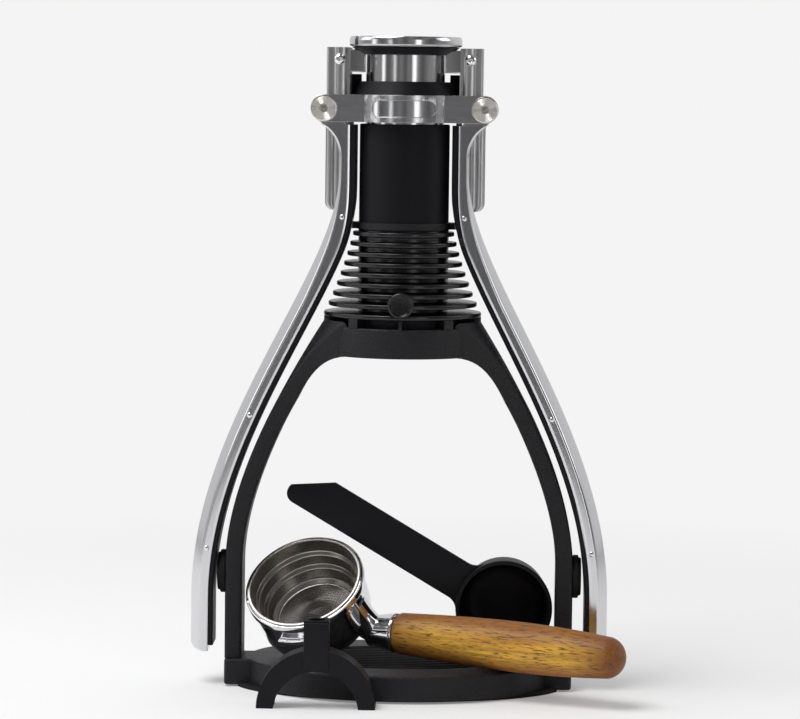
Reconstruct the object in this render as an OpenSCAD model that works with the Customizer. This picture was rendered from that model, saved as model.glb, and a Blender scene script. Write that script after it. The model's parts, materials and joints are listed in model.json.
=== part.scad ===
// Manual lever espresso maker: a black frame carries a finned pressure chamber, and a yoke with
// the piston climbs two racks beside the chamber as the levers are raised. A portafilter, a scoop
// and a twin spout lie loose round it. Millimetres, front towards -Y, origin under the base.

/* [Base] */
// Width of the base over its flat ends
base_w = 157; // [150:1:166]
// Depth of the base
base_d = 100; // [92:1:120]
// How far the oval outline would reach past each flat end
base_end_cut = 2.5; // [1:0.5:5]
// Height of the top face of the base
base_h = 12.5; // [10:0.5:18]
// How far the rubber sole stands below the base plate
sole_proud = 0.8; // [0.4:0.1:2]
// Thickness of the rubber sole
sole_t = 2; // [1.6:0.1:4]
// Width of the rim left round the sole and round the drip mat
base_rim = 12; // [10:0.5:14]
// Depth of the recess that holds the drip mat
mat_recess = 2.2; // [1.5:0.1:4]
// Thickness of the drip mat without its ribs
mat_t = 1.2; // [0.8:0.1:1.4]
// Height of the drip mat's ribs
mat_rib_h = 0.8; // [0.4:0.1:1.2]
// Spacing of the drip mat's ribs
mat_rib_pitch = 7; // [5:0.5:12]

/* [Frame] */
// Thickness of a leg, seen from the front
leg_t = 7.8; // [6:0.1:10]
// Depth of a leg from front to back
leg_d = 20; // [16:0.5:24]
// Height at which a leg turns upright
leg_knee_z = 55; // [45:1:65]
// Height of the corner that the leg's curve bends towards
leg_bend_z = 97.7; // [90:0.5:106]
// Outer radius of the round collar between the legs
collar_r = 35.4; // [34:0.2:38]
// Height of the underside of the collar
collar_z = 148.5; // [144:0.5:152]
// Height of the collar
collar_h = 19.9; // [18:0.1:22]
// Height of the windows under the collar's top edge
window_h = 3.6; // [2:0.1:5]
// Depth of the windows
window_d = 2.4; // [1:0.1:3.5]
// Height of the solid edge above the windows
window_edge = 1.8; // [1:0.1:3]
// Width of the posts between the windows
window_post_w = 5; // [3:0.5:8]
// Distance of the outer posts from the middle
window_post_x = 22; // [18:0.5:26]
// Radius of the bore that takes the group ring
group_bore_r = 30.5; // [29.5:0.1:31.5]
// Thickness of the ledge inside the collar
ledge_t = 7.4; // [5:0.1:9]
// Radius of the rubber bumpers
bumper_r = 9.8; // [7:0.1:12]
// How far a bumper stands out of its leg
bumper_t = 3.8; // [3:0.1:4]
// Gap between a leg and the lever beside it, near the lever's tip
lever_stand = 5.4; // [5:0.1:8]
// Height of the bumpers
bumper_z = 51; // [35:1:60]

/* [Chamber] */
// Outer radius of the chamber
chamber_r = 20.2; // [19.5:0.1:21]
// Radius of the bore that the piston runs in
bore_r = 18; // [17.2:0.1:18.6]
// Height of the smooth part above the fins
smooth_h = 47; // [40:0.5:50]
// Number of fins
fin_count = 9; // [7:1:9]
// Spacing of the fins
fin_pitch = 4.5; // [4:0.1:5]
// Thickness of a fin
fin_t = 2; // [1.4:0.1:2.6]
// Radius of the top fin
fin_top_r = 22.8; // [22:0.1:24]
// Growth of the radius from one fin to the next
fin_step = 1.1; // [0.9:0.05:1.2]
// Extra growth that adds up towards the lower fins
fin_swell = 0.06; // [0.04:0.005:0.065]
// Radius of the barrel that passes through the frame's ledge
barrel_r = 26; // [24:0.2:27]
// Radius of the round medallion
medallion_r = 5.7; // [4:0.1:8]
// Thickness of the medallion
medallion_t = 1.6; // [1:0.1:3]

/* [Group] */
// Inner radius of the group ring
group_r = 27.9; // [27.7:0.1:28.4]
// Height of the group ring
group_h = 6.5; // [5:0.1:8]
// Thickness of the group gasket
gasket_t = 2.5; // [1.5:0.1:3.5]
// Thickness of the shower screen
screen_t = 1.1; // [0.8:0.1:1.6]
// Radius of the shower screen
screen_r = 21.8; // [20:0.1:23]

/* [Yoke] */
// Distance of each lever's pivot from the middle
pin_x = 35.8; // [34:0.1:38]
// Height of the lever pivots with the levers down
pin_z = 261.4; // [260:0.1:263]
// Radius of a pivot pin
pin_r = 2.5; // [2:0.1:3]
// Radius of a pin's turned head
pin_head_r = 5.9; // [5:0.1:7]
// Thickness of a pin's turned head
pin_head_t = 3; // [2:0.1:4]
// Height of the front and rear bands
band_h = 12.2; // [11:0.1:14]
// Thickness of the bands
band_t = 2.6; // [2:0.1:3.5]
// Half width of the curved middle of a band
band_mid_w = 17.75; // [15:0.25:19]
// Outer radius of the steel piston tube
tube_r = 17.7; // [16.9:0.1:17.7]
// Wall of the piston tube
tube_wall = 1.5; // [1:0.1:2]
// Height of the visible tube between the black collar and the funnel
tube_show = 11.8; // [10:0.5:16]
// Outer radius of the tube collar at its foot
cone_foot_r = 23.7; // [23:0.1:26]
// Outer radius of the tube collar at its top
cone_top_r = 20.5; // [19:0.1:22]
// Height of the tube collar above the bands
cone_h = 6; // [4:0.1:8]
// Outer radius of the funnel's rim
funnel_r = 25.3; // [24:0.1:28]
// Height of the funnel's rim
funnel_rim_h = 4.5; // [3:0.1:7]
// Wall of the funnel
funnel_wall = 1; // [0.8:0.1:1.5]
// Height of the black ring under the funnel's rim
ring_h = 3.8; // [3:0.1:5]
// Outer radius of the black ring at its foot
ring_foot_r = 19.6; // [19:0.1:21]
// Width of the notch in the funnel's rim
notch_w = 1.5; // [1:0.1:3]
// Length of a side rail
rail_h = 73.5; // [60:0.5:74]
// How far a side rail stands above the bands
rail_top = 21; // [18:0.5:24]
// Distance of a side rail's inner edge from the middle
rail_in_x = 24.6; // [24.2:0.1:26]
// Distance of a side rail's outer edge from the middle
rail_out_x = 36.2; // [35.4:0.1:38]
// Thickness of a side rail's walls
rail_t = 2; // [1.5:0.1:2]
// Length of the piston's head
head_h = 12; // [10:0.5:14]
// Thickness of a piston seal
seal_t = 2.4; // [1.5:0.1:3]

/* [Drive] */
// Module of the pinion and rack teeth
gear_module = 0.9; // [0.85:0.01:0.92]
// Number of teeth on a pinion
pinion_teeth = 12; // [11:1:12]
// Height of the pinion's teeth above the pitch line
pinion_addendum = 0.68; // [0.5:0.01:0.7]
// Height of the rack's teeth above the pitch line
rack_addendum = 0.58; // [0.45:0.01:0.6]
// Gap between the teeth at the pitch line
backlash = 0.3; // [0.25:0.01:0.4]
// Width of a pinion
pinion_w = 7; // [5:0.1:7.2]
// Width of a rack
rack_w = 6.4; // [4:0.1:6.6]
// How far a raised lever turns, in degrees
lever_swing = 150; // [120:5:150]

/* [Levers] */
// Depth of a lever from front to back
lever_d = 20; // [18:0.5:20]
// Thickness of a lever's metal arm
arm_t = 8.3; // [7:0.1:9]
// Thickness of the arm at its neck
neck_t = 4.7; // [4.6:0.1:5.5]
// Thickness of the black liner inside the arm
liner_t = 2.2; // [1.5:0.1:2.4]
// Distance of the neck's outer face from the middle
neck_x = 29; // [28.8:0.1:29.8]
// Height of the arm's lower tip
lever_tip_z = 15.5; // [14:0.5:24]
// Height below which a lever runs straight
lever_low_z = 40; // [30:1:50]
// Radius of the arm's outer corner at the tip
lever_tip_r = 4; // [2:0.5:6]
// Width of the slot that straddles the rack
fork_w = 7.4; // [7.3:0.1:9]
// Radius of the rivets that hold the liner
rivet_r = 1; // [0.6:0.1:1.5]

/* [Portafilter] */
// Outer radius of the bowl's rim
bowl_r = 27; // [26.4:0.1:27.2]
// Depth of the bowl
bowl_h = 32; // [30:0.5:33]
// Radius of the flat bottom of the bowl
bowl_foot_r = 17; // [15:0.5:19]
// Inner radius of the filter basket
basket_r = 24.75; // [24:0.05:24.8]
// Depth of the filter basket
basket_h = 22; // [18:0.5:23]
// Wall of the filter basket
basket_wall = 0.5; // [0.4:0.05:0.6]
// How far a bayonet lug stands out of the bowl
lug_out = 2.3; // [1.5:0.1:2.4]
// Length of the wooden handle
grip_l = 112; // [100:1:122]
// Radius of the wooden handle at its thick end
grip_r = 11; // [9.5:0.1:11.2]
// Radius of the wooden handle next to the ferrule
grip_neck_r = 8.7; // [8.5:0.1:10]
// Depth of the handle's axis below the rim
grip_drop = 28.8; // [26:0.1:29]
// Lean of the bowl towards the viewer, in degrees
bowl_lean = 41; // [38:0.5:44]
// Droop of the handle, in degrees
bowl_droop = 1.6; // [1:0.1:1.8]
// Swing of the handle towards the viewer, in degrees
bowl_swing = -23.3; // [-26:0.1:-20]
// Gap between the bowl's rim and the left leg
bowl_leg_gap = 1.2; // [0.8:0.1:3]
// Distance of the bowl's rim in front of the middle
bowl_front = 13; // [10:0.5:14]

/* [Scoop and spout] */
// Outer radius of the scoop's cup
cup_r = 22.1; // [19:0.1:22.4]
// Depth of the scoop's cup
cup_h = 27; // [18:0.5:30]
// Wall of the scoop's cup
cup_wall = 1.8; // [1.2:0.1:3]
// Length of the scoop from the middle of its cup
scoop_l = 109; // [100:1:114]
// Width of the scoop's flat handle
scoop_w = 17.3; // [14:0.1:20]
// Thickness of the scoop's flat handle
scoop_t = 3; // [2:0.1:4]
// Rise of the scoop's handle, in degrees
scoop_rise = 28; // [27.5:0.1:32]
// Gap between the scoop's cup and the right leg
scoop_leg_gap = 0.9; // [0.6:0.1:4]
// Distance of the cup's mouth behind the middle
scoop_y = 3.5; // [3:0.5:6]
// How far the flat handle sits behind the cup's mouth
scoop_set = 4; // [4:0.5:8]
// Outer radius of the twin spout's arch
spout_r = 26; // [22:0.5:30]
// Thickness of the arch at its top
spout_t = 9.5; // [7:0.1:11]
// Width of a foot of the arch
spout_foot_w = 6.9; // [5:0.1:8]
// Depth of the arch from front to back
spout_d = 14; // [10:0.5:16]
// Width of the square tower on the arch
tower_w = 11; // [9:0.5:12]
// Height of the top of the tower
tower_z = 38.5; // [34:0.5:44]
// Radius of the hole in the tower
tower_bore_r = 3.8; // [2.5:0.1:4]
// Distance of the spout to the left of the middle
spout_left = 34.2; // [30:0.1:40]
// Gap between the spout and the front of the base
spout_gap = 1; // [0.5:0.1:10]

/* [Fits] */
// Gap between pieces that are fitted together
fit_gap = 0.15; // [0.05:0.01:0.2]
// Gap between a turning hole and its pin
run_gap = 0.06; // [0.02:0.01:0.1]
// Gap between pieces that pass each other
clear_gap = 0.4; // [0.3:0.05:0.6]
// Gap under a loose piece that stands on another
stand_gap = 0.3; // [0.2:0.05:0.6]

/* [Hidden] */
$fn = 64;
// Overlap that lets cuts pass cleanly through a face
eps = 0.01;
// Length that passes right through any piece
through = 400;
// Number of steps along a curved outline
curve_steps = 16;
// Number of sides of the base's oval
oval_steps = 96;

// Colours
black = [0.07, 0.07, 0.08];
rubber_black = [0.04, 0.04, 0.04];
steel = [0.75, 0.75, 0.77];
polished = [0.82, 0.82, 0.84];
dark_steel = [0.35, 0.35, 0.37];
brass_steel = [0.72, 0.70, 0.62];
wood = [0.62, 0.36, 0.13];

// Heights of the fixed stack, from the collar up
collar_top = collar_z + collar_h;
ledge_z = collar_top - ledge_t;
barrel_below = 3;
barrel_z = ledge_z - barrel_below;
fin_base_z = collar_top;
fins_top = fin_base_z + (fin_count - 1) * fin_pitch + fin_t;
flare_z = fins_top + fin_pitch / 4;
flare_h = 3;
chamber_top = flare_z + smooth_h;
core_r = chamber_r + 0.2;
ring_seat_r = chamber_r + fit_gap;
fin_edge = 0.5;

// Medallion
medallion_z = fin_base_z + 0.7 * fin_pitch;
medallion_y = -max(collar_r, fin_r(fin_count - 1)) - fit_gap - medallion_t;
medallion_stem_r = 2;

// Base outlines
sole_gap = clear_gap;
screw_depth = 12;
mat_half_w = base_w / 2 - base_rim - leg_t / 4;
mat_half_d = base_d / 2 - base_rim;
leg_x = base_w / 2;

// Bumpers
bumper_plug = 5;
bumper_stem_r = 3;
bumper_lip = 1.2;

// Screw sizes
screw_r = 2;
screw_head_r = 3.6;
screw_head_h = 2.4;
small_screw_r = 1.5;
small_head_r = 2.6;

// Yoke heights and depths
band_z = pin_z - band_h / 2;
band_top = band_z + band_h;
ear_y = lever_d / 2 + clear_gap;
ear_r = band_h / 2;
band_in_r = cone_foot_r - band_t - 0.1;
cone_z = band_top;
tube_top = cone_z + cone_h + tube_show;
ring_z = tube_top;
funnel_rim_z = ring_z + ring_h;
funnel_top = funnel_rim_z + funnel_rim_h;
funnel_neck_r = tube_r - tube_wall - fit_gap;
tube_in_r = tube_r - tube_wall;
rail_z = band_top + rail_top - rail_h;
rail_end = band_top + rail_top;
rail_back_y = ear_y + band_t;
rail_front_y = -lever_d / 2 + 1;
rail_screw_z = rail_end - 5.3;
rail_screw_x = 29.2;
lug_z = rail_end - 11;
lug_h = 8;
rail_end_r = 4;
dome_r = 3;
notch_x = 3.8;
funnel_fall = 1.2;
ring_top_r = funnel_r - 1.1;
plaque_w = 14.2;
plaque_h = 3.6;
plaque_t = 0.8;
nut_t = 3;
nut_r = 4.4;
dimple_r = 0.9;
dimple_d = 0.6;

// Piston, standing just above the shower screen with the levers down
piston_z = barrel_z + screen_t + 4;
head_top = piston_z + head_h;
spigot_h = 6;
valve_r = 9;
valve_t = 1;
seal_z = [piston_z + 2, piston_z + head_h - 2 - seal_t];
seal_groove = 1.8;

// Rack and pinion
pitch_r = gear_module * pinion_teeth / 2;
tooth_pitch = PI * gear_module;
tooth_t = (tooth_pitch - backlash) / 2;
pressure_angle = 20;
base_circle_r = pitch_r * cos(pressure_angle);
pinion_tip_r = pitch_r + pinion_addendum;
pinion_root_r = pitch_r - rack_addendum - 0.25;
rack_pitch_x = pin_x - pitch_r;
rack_root = pinion_addendum + 0.25;
travel = pitch_r * lever_swing * PI / 180;
rack_in_x = neck_x - neck_t - 1.3;
rack_bar_t = 2.6;
rack_tooth_z = pin_z - 2 * tooth_pitch;
rack_teeth = ceil((travel + 4 * tooth_pitch) / tooth_pitch);
rack_end = rack_tooth_z + rack_teeth * tooth_pitch;
carrier_x = rack_in_x;
rack_block_x = cone_foot_r + 2 * clear_gap;

// Lever outline, from the shoulder under the band down to the tip
shoulder_z = band_z - 1.3;
shoulder_x = pin_x + 1.1;
flare_r = 16.4;
flare_start_z = shoulder_z - 14;
neck_z = flare_start_z - 8;
arm_low_x = leg_x + lever_stand + liner_t + arm_t;
arm_p0 = [neck_x, neck_z];
arm_span = neck_z - lever_low_z;
neck_bend = 0.23;
tip_bend = 0.583;
arm_p1 = [neck_x, neck_z - arm_span * neck_bend];
arm_p2 = [arm_low_x, neck_z - arm_span * tip_bend];
arm_p3 = [arm_low_x, lever_low_z];
neck_blend = 0.22;
hub_r = ear_r - clear_gap / 2;
fork_z = flare_z - 5;
fork_web_x = rack_in_x + rack_bar_t + 0.6;

// Cross rivets, by their share of the way down the arm
rivet_at = [0.12, 0.62, 0.9];

// Portafilter, standing on the edge of its foot
bowl_x = bowl_r + bowl_leg_gap + leg_t - leg_x;
bowl_y = -bowl_front;
bowl_up = cos(bowl_lean) * cos(bowl_droop);
bowl_tilt = sqrt(1 - bowl_up * bowl_up);
rim_h = 8;
rim_edge = 0.6;
bowl_side = concat(
    [[bowl_foot_r, -bowl_h]],
    [for (i = [1:8])
        bend2([bowl_foot_r, -bowl_h], [bowl_r - 4, 3 - bowl_h], [bowl_r - 1, -rim_h], i / 8)],
    [[bowl_r, 1 - rim_h], [bowl_r, -rim_edge], [bowl_r - rim_edge, 0]]);
bowl_z = base_h + stand_gap + max([for (q = bowl_side) q[0] * bowl_tilt - q[1] * bowl_up]);
basket_flange_t = 0.8;
lug_drop = 10;
lug_t = 4;
lug_w = 14;
ferrule_x = 25;
ferrule_l = 14;
ferrule_r = 8.2;
ferrule_step = 0.2;
ferrule_land = 1.5;
rod_r = 2.5;
rod_l = 94;
rod_play = 0.5;
rod_end_gap = 2;
grip_x = ferrule_x + ferrule_l;
neck_root_x = 19;
neck_l = 17;
neck_slope = -10;
neck_root_r = 5;
neck_end_r = 4.6;
grip_end_r = 8;
grip_edge = 1.5;
grip_swell = 0.3;
grip_steps = 8;
outlet_r = 3.2;
rod_grip = 8;
clip_drop = 10;
clip_wire = 0.6;

// Steps of the basket's wall, and the hollow of the bowl that follows them
step_r_1 = basket_r - 2;
step_r_2 = basket_r - 4.2;
step_z_1 = -6.5;
step_z_2 = -13;
basket_room = basket_wall + clear_gap;
clip_half = clip_wire + run_gap;
clip_groove_r = step_r_1 + basket_wall + 2 * clip_wire + 2 * run_gap;
bowl_hollow = [
    [0, eps], [basket_r + basket_room, eps], [basket_r + basket_room, step_z_1 - 0.5],
    [step_r_1 + basket_room, step_z_1 - 1.7], [step_r_1 + basket_room, clip_half - clip_drop],
    [clip_groove_r, clip_half - clip_drop], [clip_groove_r, -clip_half - clip_drop],
    [step_r_1 + basket_room, -clip_half - clip_drop], [step_r_1 + basket_room, step_z_2 - 0.5],
    [step_r_2 + basket_room, step_z_2 - 1.7], [step_r_2 + basket_room, -basket_h - 1.5],
    [0, -basket_h - 1.5]];

// Scoop, standing on its cup
scoop_x = leg_x - leg_t - scoop_leg_gap - cup_r;
scoop_z = base_h + stand_gap + cup_r;
spout_x = -spout_left;
spout_y = -base_d / 2 - spout_gap - spout_d / 2;
spout_in_r = (spout_r - spout_foot_w + spout_r - spout_t) / 2 + 1;
spout_in_z = spout_r - spout_t - spout_in_r;

// Point t of the way along a quadratic curve
function bend2(a, b, c, t) = (1 - t) * (1 - t) * a + 2 * t * (1 - t) * b + t * t * c;

// Point t of the way along a cubic curve, and the direction there
function bend3(a, b, c, d, t) =
    pow(1 - t, 3) * a + 3 * t * pow(1 - t, 2) * b + 3 * t * t * (1 - t) * c + pow(t, 3) * d;
function bend3_dir(a, b, c, d, t) =
    pow(1 - t, 2) * (b - a) + 2 * t * (1 - t) * (c - b) + t * t * (d - c);
function bend2_dir(a, b, c, t) = (1 - t) * (b - a) + t * (c - b);

// Unit vector square to v, pointing towards the middle of the object on the right-hand side
function inward(v) = [v[1], -v[0]] / norm(v);

// Smooth step from 0 to 1
function ease(t) = let (u = min(1, max(0, t))) u * u * (3 - 2 * u);

// Points of a round corner of radius r about c, from angle a to angle b
function arc(c, r, a, b, n) =
    [for (i = [0:n]) c + r * [cos(a + (b - a) * i / n), sin(a + (b - a) * i / n)]];

// Points of an oval with half axes a and b
function oval(a, b) =
    [for (i = [0:oval_steps - 1]) [a * cos(360 * i / oval_steps), b * sin(360 * i / oval_steps)]];

// Outer edge of the right leg and the same edge moved in by its thickness
leg_a = [collar_r - 0.4, collar_top - 1.7];
leg_b = [leg_x, leg_bend_z];
leg_c = [leg_x, leg_knee_z];
leg_outer = [for (i = [0:curve_steps]) bend2(leg_a, leg_b, leg_c, i / curve_steps)];
leg_inner = [for (i = [4:curve_steps])
    bend2(leg_a, leg_b, leg_c, i / curve_steps)
    + leg_t * inward(bend2_dir(leg_a, leg_b, leg_c, i / curve_steps))];
crotch_a = [collar_r - 5, collar_z];
crotch_b = [collar_r + 2.5, collar_z];
crotch = [for (i = [0:6]) bend2(crotch_a, crotch_b, leg_inner[0], i / 6)];

// Outline of a lever between two depths measured in from its outer face
function arm_depth(t, deep) = deep - (arm_t - neck_t) * (1 - ease(t / neck_blend)) * (deep > 0 ? 1 : 0);
function arm_edge(deep) = [for (i = [0:curve_steps + 8])
    let (t = i / (curve_steps + 8))
    bend3(arm_p0, arm_p1, arm_p2, arm_p3, t)
    + arm_depth(t, deep) * inward(bend3_dir(arm_p0, arm_p1, arm_p2, arm_p3, t))];
function reversed(v) = [for (i = [len(v) - 1:-1:0]) v[i]];

module oval_plate(a, b, h) {
    linear_extrude(h)
        polygon(oval(a, b));
}

// Slab with the outline of its children in the front view, centred on depth y
module front_slab(depth, y = 0) {
    translate([0, y + depth / 2, 0])
        rotate([90, 0, 0])
            linear_extrude(depth)
                children();
}

// Cylinder that runs from front to back through the point x, z
module cross_pin(x, z, r, y0, y1) {
    translate([x, y1, z])
        rotate([90, 0, 0])
            cylinder(h = y1 - y0, r = r);
}

module ring(r_out, r_in, h) {
    difference() {
        cylinder(h = h, r = r_out);
        translate([0, 0, -eps])
            cylinder(h = h + 2 * eps, r = r_in);
    }
}

// Children on the right-hand side and their mirror image on the left
module both_sides() {
    children();
    mirror([1, 0, 0])
        children();
}

module base_outline(inset) {
    intersection() {
        polygon(oval(base_w / 2 + base_end_cut - inset, base_d / 2 - inset));
        square([base_w - 2 * inset, base_d], center = true);
    }
}

module base_plate() {
    color(black)
        difference() {
            translate([0, 0, sole_proud])
                linear_extrude(base_h - sole_proud)
                    base_outline(0);
            translate([0, 0, base_h - mat_recess])
                oval_plate(mat_half_w, mat_half_d, mat_recess + eps);
            translate([0, 0, sole_proud - eps])
                linear_extrude(sole_t - sole_proud + eps)
                    base_outline(base_rim / 2);
            leg_screw_places()
                cylinder(h = through, r = screw_r + fit_gap, center = true);
            leg_screw_places()
                translate([0, 0, sole_t - eps])
                    cylinder(h = screw_head_h + eps, r = screw_head_r + fit_gap);
        }
}

module base_sole() {
    color(rubber_black)
        linear_extrude(sole_t)
            base_outline(base_rim / 2 + sole_gap);
}

module drip_mat() {
    color(rubber_black)
        translate([0, 0, base_h - mat_recess])
            intersection() {
                oval_plate(mat_half_w - clear_gap, mat_half_d - clear_gap, mat_t + mat_rib_h);
                union() {
                    oval_plate(base_w, base_d, mat_t);
                    for (y = [-mat_half_d:mat_rib_pitch:mat_half_d])
                        translate([-base_w, y, 0])
                            cube([2 * base_w, mat_rib_pitch / 2, mat_t + mat_rib_h]);
                }
            }
}

// Places of the screws that hold the legs, two to a leg
module leg_screw_places() {
    both_sides()
        for (y = [-leg_d / 4, leg_d / 4])
            translate([leg_x - leg_t / 2, y, 0])
                children();
}

module leg_outline() {
    polygon(concat(
        [[collar_r - 5, leg_a[1]]], leg_outer, [[leg_x, base_h], [leg_x - leg_t, base_h]],
        reversed(leg_inner), reversed(crotch)));
}

module collar_windows() {
    window_z = collar_top - window_edge - window_h;
    for (side = [0, 180])
        rotate([0, 0, side])
            difference() {
                translate([-collar_r, -collar_r - eps, window_z])
                    cube([2 * collar_r, collar_r, window_h]);
                cylinder(h = through, r = collar_r - window_d);
                for (x = [-window_post_x, 0, window_post_x])
                    translate([x - window_post_w / 2, -collar_r - 2 * eps, 0])
                        cube([window_post_w, collar_r, through]);
                for (x = [-1, 1])
                    translate([x * collar_r, 0, 0])
                        cube([2 * leg_t, leg_d + 2 * leg_t, through], center = true);
            }
}

module frame_casting() {
    color(black)
        difference() {
            union() {
                translate([0, 0, collar_z])
                    cylinder(h = collar_h, r = collar_r);
                both_sides()
                    front_slab(leg_d)
                        leg_outline();
            }
            translate([0, 0, -eps])
                cylinder(h = ledge_z + eps, r = group_bore_r);
            cylinder(h = through, r = barrel_r + fit_gap);
            collar_windows();
            leg_screw_places()
                translate([0, 0, base_h - eps])
                    cylinder(h = screw_depth, r = screw_r + fit_gap);
            both_sides()
                translate([leg_x - bumper_plug, 0, bumper_z])
                    rotate([0, 90, 0])
                        cylinder(h = 2 * bumper_plug, r = bumper_stem_r + fit_gap);
            chamber_screw_places()
                translate([0, 0, ledge_z - eps])
                    cylinder(h = through, r = small_screw_r + fit_gap);
        }
}

module leg_screws() {
    color(dark_steel)
        leg_screw_places() {
            translate([0, 0, sole_t])
                cylinder(h = screw_head_h - fit_gap, r = screw_head_r);
            translate([0, 0, sole_t])
                cylinder(h = base_h - sole_t + screw_depth - 1, r = screw_r);
        }
}

module lever_bumpers() {
    color(rubber_black)
        both_sides()
            translate([leg_x, 0, bumper_z])
                rotate([0, 90, 0]) {
                    cylinder(h = bumper_t - bumper_lip, r = bumper_r);
                    cylinder(h = bumper_t, r = bumper_r - bumper_lip);
                    translate([0, 0, fit_gap - bumper_plug])
                        cylinder(h = bumper_plug, r = bumper_stem_r);
                }
}

// Radius of fin i, counted from the top
function fin_r(i) = fin_top_r + fin_step * i + fin_swell * i * i;

// Profile of one fin as it is met going up the outside of the chamber
function fin_profile(k) =
    let (z = fin_base_z + k * fin_pitch, r = fin_r(fin_count - 1 - k))
    [[core_r, z], [r - fin_edge, z], [r, z + fin_edge], [r, z + fin_t - fin_edge],
     [r - fin_edge, z + fin_t], [core_r, z + fin_t]];

// Places of the screws between the ledge and the lowest fin
module chamber_screw_places() {
    for (a = [45:90:315])
        rotate([0, 0, a])
            translate([(barrel_r + group_bore_r) / 2, 0, 0])
                children();
}

module chamber() {
    color(black)
        difference() {
            rotate_extrude($fn = 96)
                polygon(concat(
                    [[bore_r, barrel_z + screen_t + fit_gap],
                        [screen_r + fit_gap, barrel_z + screen_t + fit_gap],
                     [screen_r + fit_gap, barrel_z], [barrel_r, barrel_z], [barrel_r, fin_base_z]],
                    [for (k = [0:fin_count - 1]) each fin_profile(k)],
                    [[core_r, flare_z], [chamber_r, flare_z], [chamber_r, chamber_top - 1],
                     [chamber_r - 1, chamber_top], [bore_r, chamber_top]]));
            chamber_screw_places()
                translate([0, 0, fin_base_z - eps])
                    cylinder(h = fin_t - 0.4, r = small_screw_r + fit_gap);
            cross_pin(0, medallion_z, medallion_stem_r + fit_gap, -through, -chamber_r + 1);
        }
}

module medallion() {
    color(black) {
        difference() {
            cross_pin(0, medallion_z, medallion_r, medallion_y, medallion_y + medallion_t);
            cross_pin(0, medallion_z, medallion_r - 1.2, medallion_y - eps, medallion_y + medallion_t / 2);
        }
        cross_pin(0, medallion_z, medallion_r - 2,
            medallion_y + medallion_t / 4, medallion_y + medallion_t);
        cross_pin(0, medallion_z, medallion_stem_r,
            medallion_y + medallion_t / 2, -chamber_r + 1 - fit_gap);
    }
}

module chamber_screws() {
    color(dark_steel)
        chamber_screw_places() {
            translate([0, 0, ledge_z - small_screw_r])
                cylinder(h = collar_top - ledge_z + small_screw_r + fin_t - 0.8, r = small_screw_r);
            translate([0, 0, ledge_z - small_screw_r])
                cylinder(h = small_screw_r - 0.05, r = small_head_r - 0.6);
        }
}

module group_gasket() {
    color(rubber_black)
        translate([0, 0, barrel_z - gasket_t])
            ring(group_bore_r - clear_gap, screen_r - 1.5, gasket_t);
}

module group_ring() {
    color(steel)
        translate([0, 0, barrel_z - gasket_t - group_h])
            difference() {
                ring(group_bore_r - fit_gap, group_r, group_h);
                for (side = [0, 180])
                    rotate([0, 0, side]) {
                        translate([0, -lug_w / 2 - 1, -eps])
                            cube([group_bore_r - 0.6, lug_w + 2, group_h + 2 * eps]);
                        intersection() {
                            translate([0, 0, group_h - lug_t])
                                cylinder(h = lug_t + eps, r = group_bore_r - 0.6);
                            cube([through, through, through]);
                        }
                    }
            }
}

module shower_screen() {
    color(steel)
        translate([0, 0, barrel_z])
            difference() {
                cylinder(h = screen_t, r = screen_r);
                for (row = [1:3])
                    for (k = [0:6 * row - 1])
                        rotate([0, 0, k * 60 / row])
                            translate([row * screen_r / 4, 0, -eps])
                                cylinder(h = screen_t + 2 * eps, r = 0.7, $fn = 16);
            }
}

module rack_carrier() {
    color(black)
        difference() {
            union() {
                translate([0, 0, flare_z])
                    cylinder(h = flare_h, r = chamber_r + 1);
                translate([-carrier_x, -rack_w / 2, flare_z])
                    cube([2 * carrier_x, rack_w, flare_h]);
            }
            translate([0, 0, flare_z - eps])
                cylinder(h = flare_h + 2 * eps, r = ring_seat_r);
            both_sides() {
                translate([carrier_x - 1, 0, flare_z + flare_h / 2])
                    rotate([0, 90, 0])
                        cylinder(h = 2, r = 0.8 + fit_gap);
            }
        }
}

// Straight rack whose teeth face away from the chamber
module rack() {
    tooth_root_x = rack_pitch_x - rack_root;
    tip_x = rack_pitch_x + rack_addendum;
    slope = tan(pressure_angle);
    half_root = tooth_t / 2 + rack_root * slope;
    half_tip = tooth_t / 2 - rack_addendum * slope;
    difference() {
        front_slab(rack_w)
            union() {
                translate([rack_in_x, flare_z])
                    square([rack_bar_t, rack_tooth_z + rack_bar_t - flare_z]);
                translate([rack_block_x, rack_tooth_z])
                    square([tooth_root_x - rack_block_x, rack_end - rack_tooth_z]);
                for (k = [0:rack_teeth - 1])
                    let (z = rack_tooth_z + (k + 0.5) * tooth_pitch)
                        polygon([
                            [tooth_root_x - eps, z - half_root], [tip_x, z - half_tip],
                            [tip_x, z + half_tip], [tooth_root_x - eps, z + half_root]]);
            }
        translate([rack_in_x - eps, 0, flare_z + flare_h / 2])
            rotate([0, 90, 0])
                cylinder(h = through, r = 0.8 + fit_gap);
    }
}

module right_rack() {
    color(dark_steel)
        rack();
}

module left_rack() {
    color(dark_steel)
        mirror([1, 0, 0])
            rack();
}

module rack_screws() {
    color(steel)
        both_sides()
            translate([carrier_x - 0.8, 0, flare_z + flare_h / 2])
                rotate([0, 90, 0])
                    cylinder(h = rack_bar_t + 0.8, r = 0.8);
}

// Outline of an ear between the curved middle and the rounded end at the pivot
module ear_outline() {
    translate([pin_x, pin_z])
        circle(r = ear_r);
    translate([band_mid_w, band_z])
        square([pin_x - band_mid_w, band_h]);
}

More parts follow.
